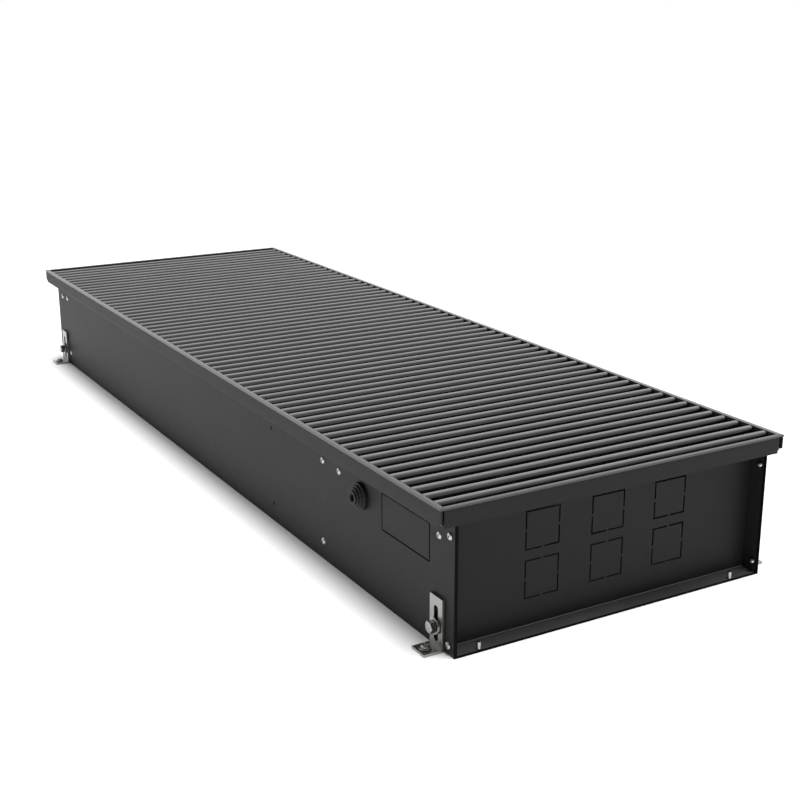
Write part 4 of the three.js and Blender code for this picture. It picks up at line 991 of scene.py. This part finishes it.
def build_exchanger():
    sizes = bpy.context.scene.heater_sizes
    metal = drawn_copper()
    outer, inner = TUBE_RADIUS * MM, (TUBE_RADIUS - TUBE_WALL) * MM
    holes = exchanger_tubes(metal, outer, inner)
    exchanger_bends(metal, outer, inner)
    low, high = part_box("fin_pack")
    plates = fin((low.x, low.z), (high.x, high.z), holes, FIN_HOLE * MM, sizes.fin_thickness)
    count = int((high.y - low.y) / sizes.fin_pitch)
    places = np.zeros((count, 3))
    places[:, 1] = np.linspace(low.y, high.y - sizes.fin_thickness, count)
    coat = coated("fin_coat", bpy.context.scene.heater_colours.fins, 0.0006, 0.5)
    shells = [repeated(plate, places) for plate in plates]
    piece("fin_plates", shells, coat, "trench", ["fin_pack"])


# ---------------------------------------------------------------- valves
def build_valves():
    colours = bpy.context.scene.heater_colours
    metal = brushed("brass", colours.brass, 0.3, (600.0, 600.0, 600.0))
    knob = coated("black_plastic", colours.black, 0.0006, 0.5)
    for name in ("supply", "return"):
        softened(f"{name}_valve_body", metal, 0.3 * MM)
        softened(f"{name}_valve_wheel", knob, 0.4 * MM)
    softened("bleed_boss", metal, 0.2 * MM)
    softened("bleed_screw", metal, 0.2 * MM)


# ---------------------------------------------------------------- fan
BLADE_DEPTH = 8.0
BLADE_THICKNESS = 0.6
BLADE_SWEEP = 0.22  # angle from a blade's outer edge to its inner edge, in radians
BLADE_INSET = 0.8  # from the rim of the discs to the blades
DISC_THICKNESS = 3.0
DISC_BORE = 3.3  # radius
SHAFT_RADIUS = 3.0
SHAFT_EASE = 0.4
SHAFT_POINT = 0.2


def fan_blades(radius, depth, low, high, count):
    """Forward-curved blades: each one's section is an arc a blade's depth long and a blade's thickness
    wide, drawn out along Y."""
    share = np.linspace(0, 1, 6)
    shells = []
    for turn in np.linspace(0, 2 * np.pi, count, endpoint=False):
        arc = turn + BLADE_SWEEP * np.sin(share * np.pi / 2)
        reach = radius - depth * share
        outer = np.column_stack([reach * np.cos(arc), reach * np.sin(arc)])
        thick = BLADE_THICKNESS * MM / reach
        inner = np.column_stack([reach * np.cos(arc + thick), reach * np.sin(arc + thick)])
        section = np.concatenate([outer, inner[::-1]])
        x, z = section.T
        shells.append(skin([np.column_stack([x, np.full(len(x), y), z]) for y in (low, high)]))
    return shells


def fan_drum():
    """Three discs and the blades between them."""
    low, high, middle = box_of("fan_drum")
    radius, bore, thick = (high.z - low.z) / 2, DISC_BORE * MM, DISC_THICKNESS * MM
    ring = lathe(rounded([(bore, 0), (radius, 0), (radius, thick), (bore, thick)], 0.4 * MM, 2), 48, True)
    shells = [placed(ring, facing((0, 1, 0), (middle.x, y, middle.z)))
              for y in (low.y, middle.y - thick / 2, high.y - thick)]
    count = bpy.context.scene.heater_sizes.blade_count
    blades = fan_blades(radius - BLADE_INSET * MM, BLADE_DEPTH * MM, low.y + MM, high.y - MM, count)
    axis = np.array([middle.x, 0, middle.z])
    shells += [(points + axis, faces) for points, faces in blades]
    metal = brushed("drum_metal", (0.3, 0.31, 0.32), 0.36, (1500.0, 40.0, 1500.0))
    piece("fan_drum_bladed", shells, metal, "fan_rotor", ["fan_drum"])


def fan_shaft():
    """A ground shaft with eased ends, on the axis of the drum."""
    low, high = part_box("fan_shaft")
    drum = box_of("fan_drum")[2]
    span, radius, ease, point = high.y - low.y, SHAFT_RADIUS * MM, SHAFT_EASE * MM, SHAFT_POINT * MM
    profile = [(point, 0), (radius - ease, 0), (radius, ease), (radius, span - ease),
               (radius - ease, span), (point, span)]
    shaft = placed(lathe(profile), facing((0, 1, 0), (drum.x, low.y, drum.z)))
    steel = brushed("shaft_steel", PLAIN_STEEL, 0.2, (60.0, 3000.0, 60.0))
    piece("fan_shaft_ground", [shaft], steel, "fan_rotor", ["fan_shaft"])


def build_fan():
    colours = bpy.context.scene.heater_colours
    zinc = galvanised()
    for node in ("fan_plate_near", "fan_plate_far", "fan_casing", "fan_tongue"):
        softened(node, zinc, 0.2 * MM)
    softened("fan_motor", coated("motor_paint", (0.03, 0.03, 0.032), 0.0008, 0.45), 1.0 * MM, 3)
    softened("fan_bearing", coated("bearing_plastic", colours.black, 0.0006, 0.5), 0.6 * MM)
    fan_drum()
    fan_shaft()


# ---------------------------------------------------------------- terminal box
LID_SCREW_INSET = 6.0
LID_SCREW = (3.0, 5.5, 1.4, 1.5)  # diameter, head, height of the head, length


def build_terminal_box():
    colours = bpy.context.scene.heater_colours
    shell = coated("box_plastic", colours.grey, 0.0007, 0.5)
    for node in ("terminal_box", "terminal_box_lid"):
        softened(node, shell, 0.8 * MM, 3)
    softened("terminal_strip", coated("strip_plastic", (0.5, 0.48, 0.4), 0.0006, 0.45), 0.3 * MM)
    low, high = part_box("terminal_box_lid")
    inset = LID_SCREW_INSET * MM
    screw = pan_screw(*(size * MM for size in LID_SCREW))
    screws = []
    for x in (low.x + inset, high.x - inset):
        for y in (low.y + inset, high.y - inset):
            screws.append(placed(screw, facing(UP, (x, y, high.z))))
    steel = brushed("lid_screw_steel", PLAIN_STEEL, 0.3, TURNED_LINES)
    piece("lid_screws", screws, steel, "trench")


# ---------------------------------------------------------------- stage
SENSOR = 36.0
CLIP = (0.01, 200.0)
FLOOR_REACH = 30.0
FLOOR_TONES = ((0.93, 0.93, 0.93), (0.95, 0.95, 0.95))
SKY_TOWARDS = (0.45, 0.85, 0.25)  # where the studio is brightest
SKY_RANGE = (-0.1, 0.8)  # cosines between which the brightness rises
KEY_FROM = (0.035, -0.14, 1.0)
KEY_PLACE = (0, 0, 3)


def stage_camera(scene, studio):
    data = bpy.data.cameras.new("camera")
    data.lens = studio.camera_lens
    data.sensor_width = SENSOR
    data.clip_start, data.clip_end = CLIP
    camera = bpy.data.objects.new("camera", data)
    turn = (Matrix.Rotation(-studio.camera_heading, 4, "Z")
            @ Matrix.Rotation(math.pi / 2 - studio.camera_tilt, 4, "X")
            @ Matrix.Rotation(-studio.camera_roll, 4, "Z"))
    camera.matrix_world = Matrix.Translation(studio.camera_place) @ turn
    scene.collection.objects.link(camera)
    scene.camera = camera


def stage_floor(scene):
    reach = FLOOR_REACH
    corners = [(-reach, -reach, 0), (reach, -reach, 0), (reach, reach, 0), (-reach, reach, 0)]
    mesh = bpy.data.meshes.new("floor")
    mesh.from_pydata(corners, [], [(0, 1, 2, 3)])
    floor = bpy.data.objects.new("floor", mesh)
    pale = Finish("floor_pale", Roughness=0.9, Specular_IOR_Level=0.0)
    pale.set(Base_Color=pale.mix(pale.noise(0.4, 2), *FLOOR_TONES))
    mesh.materials.append(pale.material)
    scene.collection.objects.link(floor)


def stage_world(scene, studio):
    """A studio that is dark at the near left and bright at the far right, with a plain white backdrop."""
    world = bpy.data.worlds.new("studio")
    world.use_nodes = True
    nodes, links = world.node_tree.nodes, world.node_tree.links
    nodes.clear()
    towards = nodes.new("ShaderNodeTexCoord")
    along = nodes.new("ShaderNodeVectorMath")
    along.operation = "DOT_PRODUCT"
    along.inputs[1].default_value = Vector(SKY_TOWARDS).normalized()
    links.new(towards.outputs["Generated"], along.inputs[0])
    rise = nodes.new("ShaderNodeMapRange")
    rise.interpolation_type = "SMOOTHSTEP"
    limits = (*SKY_RANGE, studio.sky_front, studio.sky_back)
    for socket, value in zip(("From Min", "From Max", "To Min", "To Max"), limits):
        rise.inputs[socket].default_value = value
    links.new(along.outputs["Value"], rise.inputs["Value"])
    light, backdrop = nodes.new("ShaderNodeBackground"), nodes.new("ShaderNodeBackground")
    links.new(rise.outputs[0], light.inputs["Strength"])
    for end in (light, backdrop):
        end.inputs["Color"].default_value = (1, 1, 1, 1)
    path = nodes.new("ShaderNodeLightPath")
    mix = nodes.new("ShaderNodeMixShader")
    out = nodes.new("ShaderNodeOutputWorld")
    links.new(path.outputs["Is Camera Ray"], mix.inputs["Fac"])
    links.new(light.outputs[0], mix.inputs[1])
    links.new(backdrop.outputs[0], mix.inputs[2])
    links.new(mix.outputs[0], out.inputs["Surface"])
    scene.world = world


def stage_key(scene, studio):
    lamp = bpy.data.lights.new("soft_key", "SUN")
    lamp.energy = studio.key
    lamp.angle = studio.key_spread
    key = bpy.data.objects.new("soft_key", lamp)
    key.matrix_world = facing(KEY_FROM, KEY_PLACE)
    key.visible_glossy = False
    scene.collection.objects.link(key)


def build_stage():
    scene = bpy.context.scene
    scene.view_settings.view_transform = "Standard"
    stage_camera(scene, scene.heater_studio)
    stage_floor(scene)
    stage_world(scene, scene.heater_studio)
    stage_key(scene, scene.heater_studio)


# ---------------------------------------------------------------- add-on
class HEATER_OT_stage(bpy.types.Operator):
    """Make the camera, the floor and the lights"""

    bl_idname = "heater.stage"
    bl_label = "Stage"
    bl_options = {"REGISTER", "UNDO"}

    def execute(self, context):
        build_stage()
        return {"FINISHED"}


class HEATER_OT_trench(bpy.types.Operator):
    """Dress the trench, its end plates and the bulkheads"""

    bl_idname = "heater.trench"
    bl_label = "Trench"
    bl_options = {"REGISTER", "UNDO"}

    def execute(self, context):
        build_trench()
        return {"FINISHED"}


class HEATER_OT_rim(bpy.types.Operator):
    """Make the four mitred rim profiles and dress the rest strips"""

    bl_idname = "heater.rim"
    bl_label = "Rim"
    bl_options = {"REGISTER", "UNDO"}

    def execute(self, context):
        build_rim()
        return {"FINISHED"}


class HEATER_OT_grille(bpy.types.Operator):
    """Make the grille's bars and linking springs"""

    bl_idname = "heater.grille"
    bl_label = "Grille"
    bl_options = {"REGISTER", "UNDO"}

    def execute(self, context):
        build_grille()
        return {"FINISHED"}


class HEATER_OT_brackets(bpy.types.Operator):
    """Dress the brackets and make their bolts, washers and foot screws"""

    bl_idname = "heater.brackets"
    bl_label = "Levelling brackets"
    bl_options = {"REGISTER", "UNDO"}

    def execute(self, context):
        build_brackets()
        return {"FINISHED"}


class HEATER_OT_rivets(bpy.types.Operator):
    """Make the blind rivets of the walls and the pins of the floor"""

    bl_idname = "heater.rivets"
    bl_label = "Rivets"
    bl_options = {"REGISTER", "UNDO"}

    def execute(self, context):
        build_rivets()
        return {"FINISHED"}


class HEATER_OT_grommet(bpy.types.Operator):
    """Make the stepped cable grommet"""

    bl_idname = "heater.grommet"
    bl_label = "Cable grommet"
    bl_options = {"REGISTER", "UNDO"}

    def execute(self, context):
        build_grommet()
        return {"FINISHED"}


class HEATER_OT_exchanger(bpy.types.Operator):
    """Make the tubes, bends and fins"""

    bl_idname = "heater.exchanger"
    bl_label = "Heat exchanger"
    bl_options = {"REGISTER", "UNDO"}

    def execute(self, context):
        build_exchanger()
        return {"FINISHED"}


class HEATER_OT_valves(bpy.types.Operator):
    """Dress the valves and the bleed screw"""

    bl_idname = "heater.valves"
    bl_label = "Valves"
    bl_options = {"REGISTER", "UNDO"}

    def execute(self, context):
        build_valves()
        return {"FINISHED"}


class HEATER_OT_fan(bpy.types.Operator):
    """Make the fan's drum and shaft and dress its housing"""

    bl_idname = "heater.fan"
    bl_label = "Fan"
    bl_options = {"REGISTER", "UNDO"}

    def execute(self, context):
        build_fan()
        return {"FINISHED"}


class HEATER_OT_terminal_box(bpy.types.Operator):
    """Dress the terminal box and make the screws of its lid"""

    bl_idname = "heater.terminal_box"
    bl_label = "Terminal box"
    bl_options = {"REGISTER", "UNDO"}

    def execute(self, context):
        build_terminal_box()
        return {"FINISHED"}


STEPS = [
    HEATER_OT_stage,
    HEATER_OT_trench,
    HEATER_OT_rim,
    HEATER_OT_grille,
    HEATER_OT_brackets,
    HEATER_OT_rivets,
    HEATER_OT_grommet,
    HEATER_OT_exchanger,
    HEATER_OT_valves,
    HEATER_OT_fan,
    HEATER_OT_terminal_box,
]


class HEATER_PT_panel(bpy.types.Panel):
    """Lists the building steps and the properties"""

    bl_label = "Trench heater"
    bl_idname = "HEATER_PT_panel"
    bl_space_type = "VIEW_3D"
    bl_region_type = "UI"
    bl_category = "Heater"

    def draw(self, context):
        for step in STEPS:
            self.layout.operator(step.bl_idname)
        for name, group in GROUPS.items():
            box = self.layout.box()
            for value in group.__annotations__:
                box.prop(getattr(context.scene, name), value)


def register():
    for group in (*GROUPS.values(), *STEPS, HEATER_PT_panel):
        bpy.utils.register_class(group)
    for name, group in GROUPS.items():
        setattr(bpy.types.Scene, name, bpy.props.PointerProperty(type=group))


def unregister():
    for name in GROUPS:
        delattr(bpy.types.Scene, name)
    for group in (HEATER_PT_panel, *reversed(STEPS), *GROUPS.values()):
        bpy.utils.unregister_class(group)


def main():
    register()
    for step in STEPS:
        getattr(bpy.ops.heater, step.bl_idname.split(".")[1])()


if __name__ == "__main__":
    main()
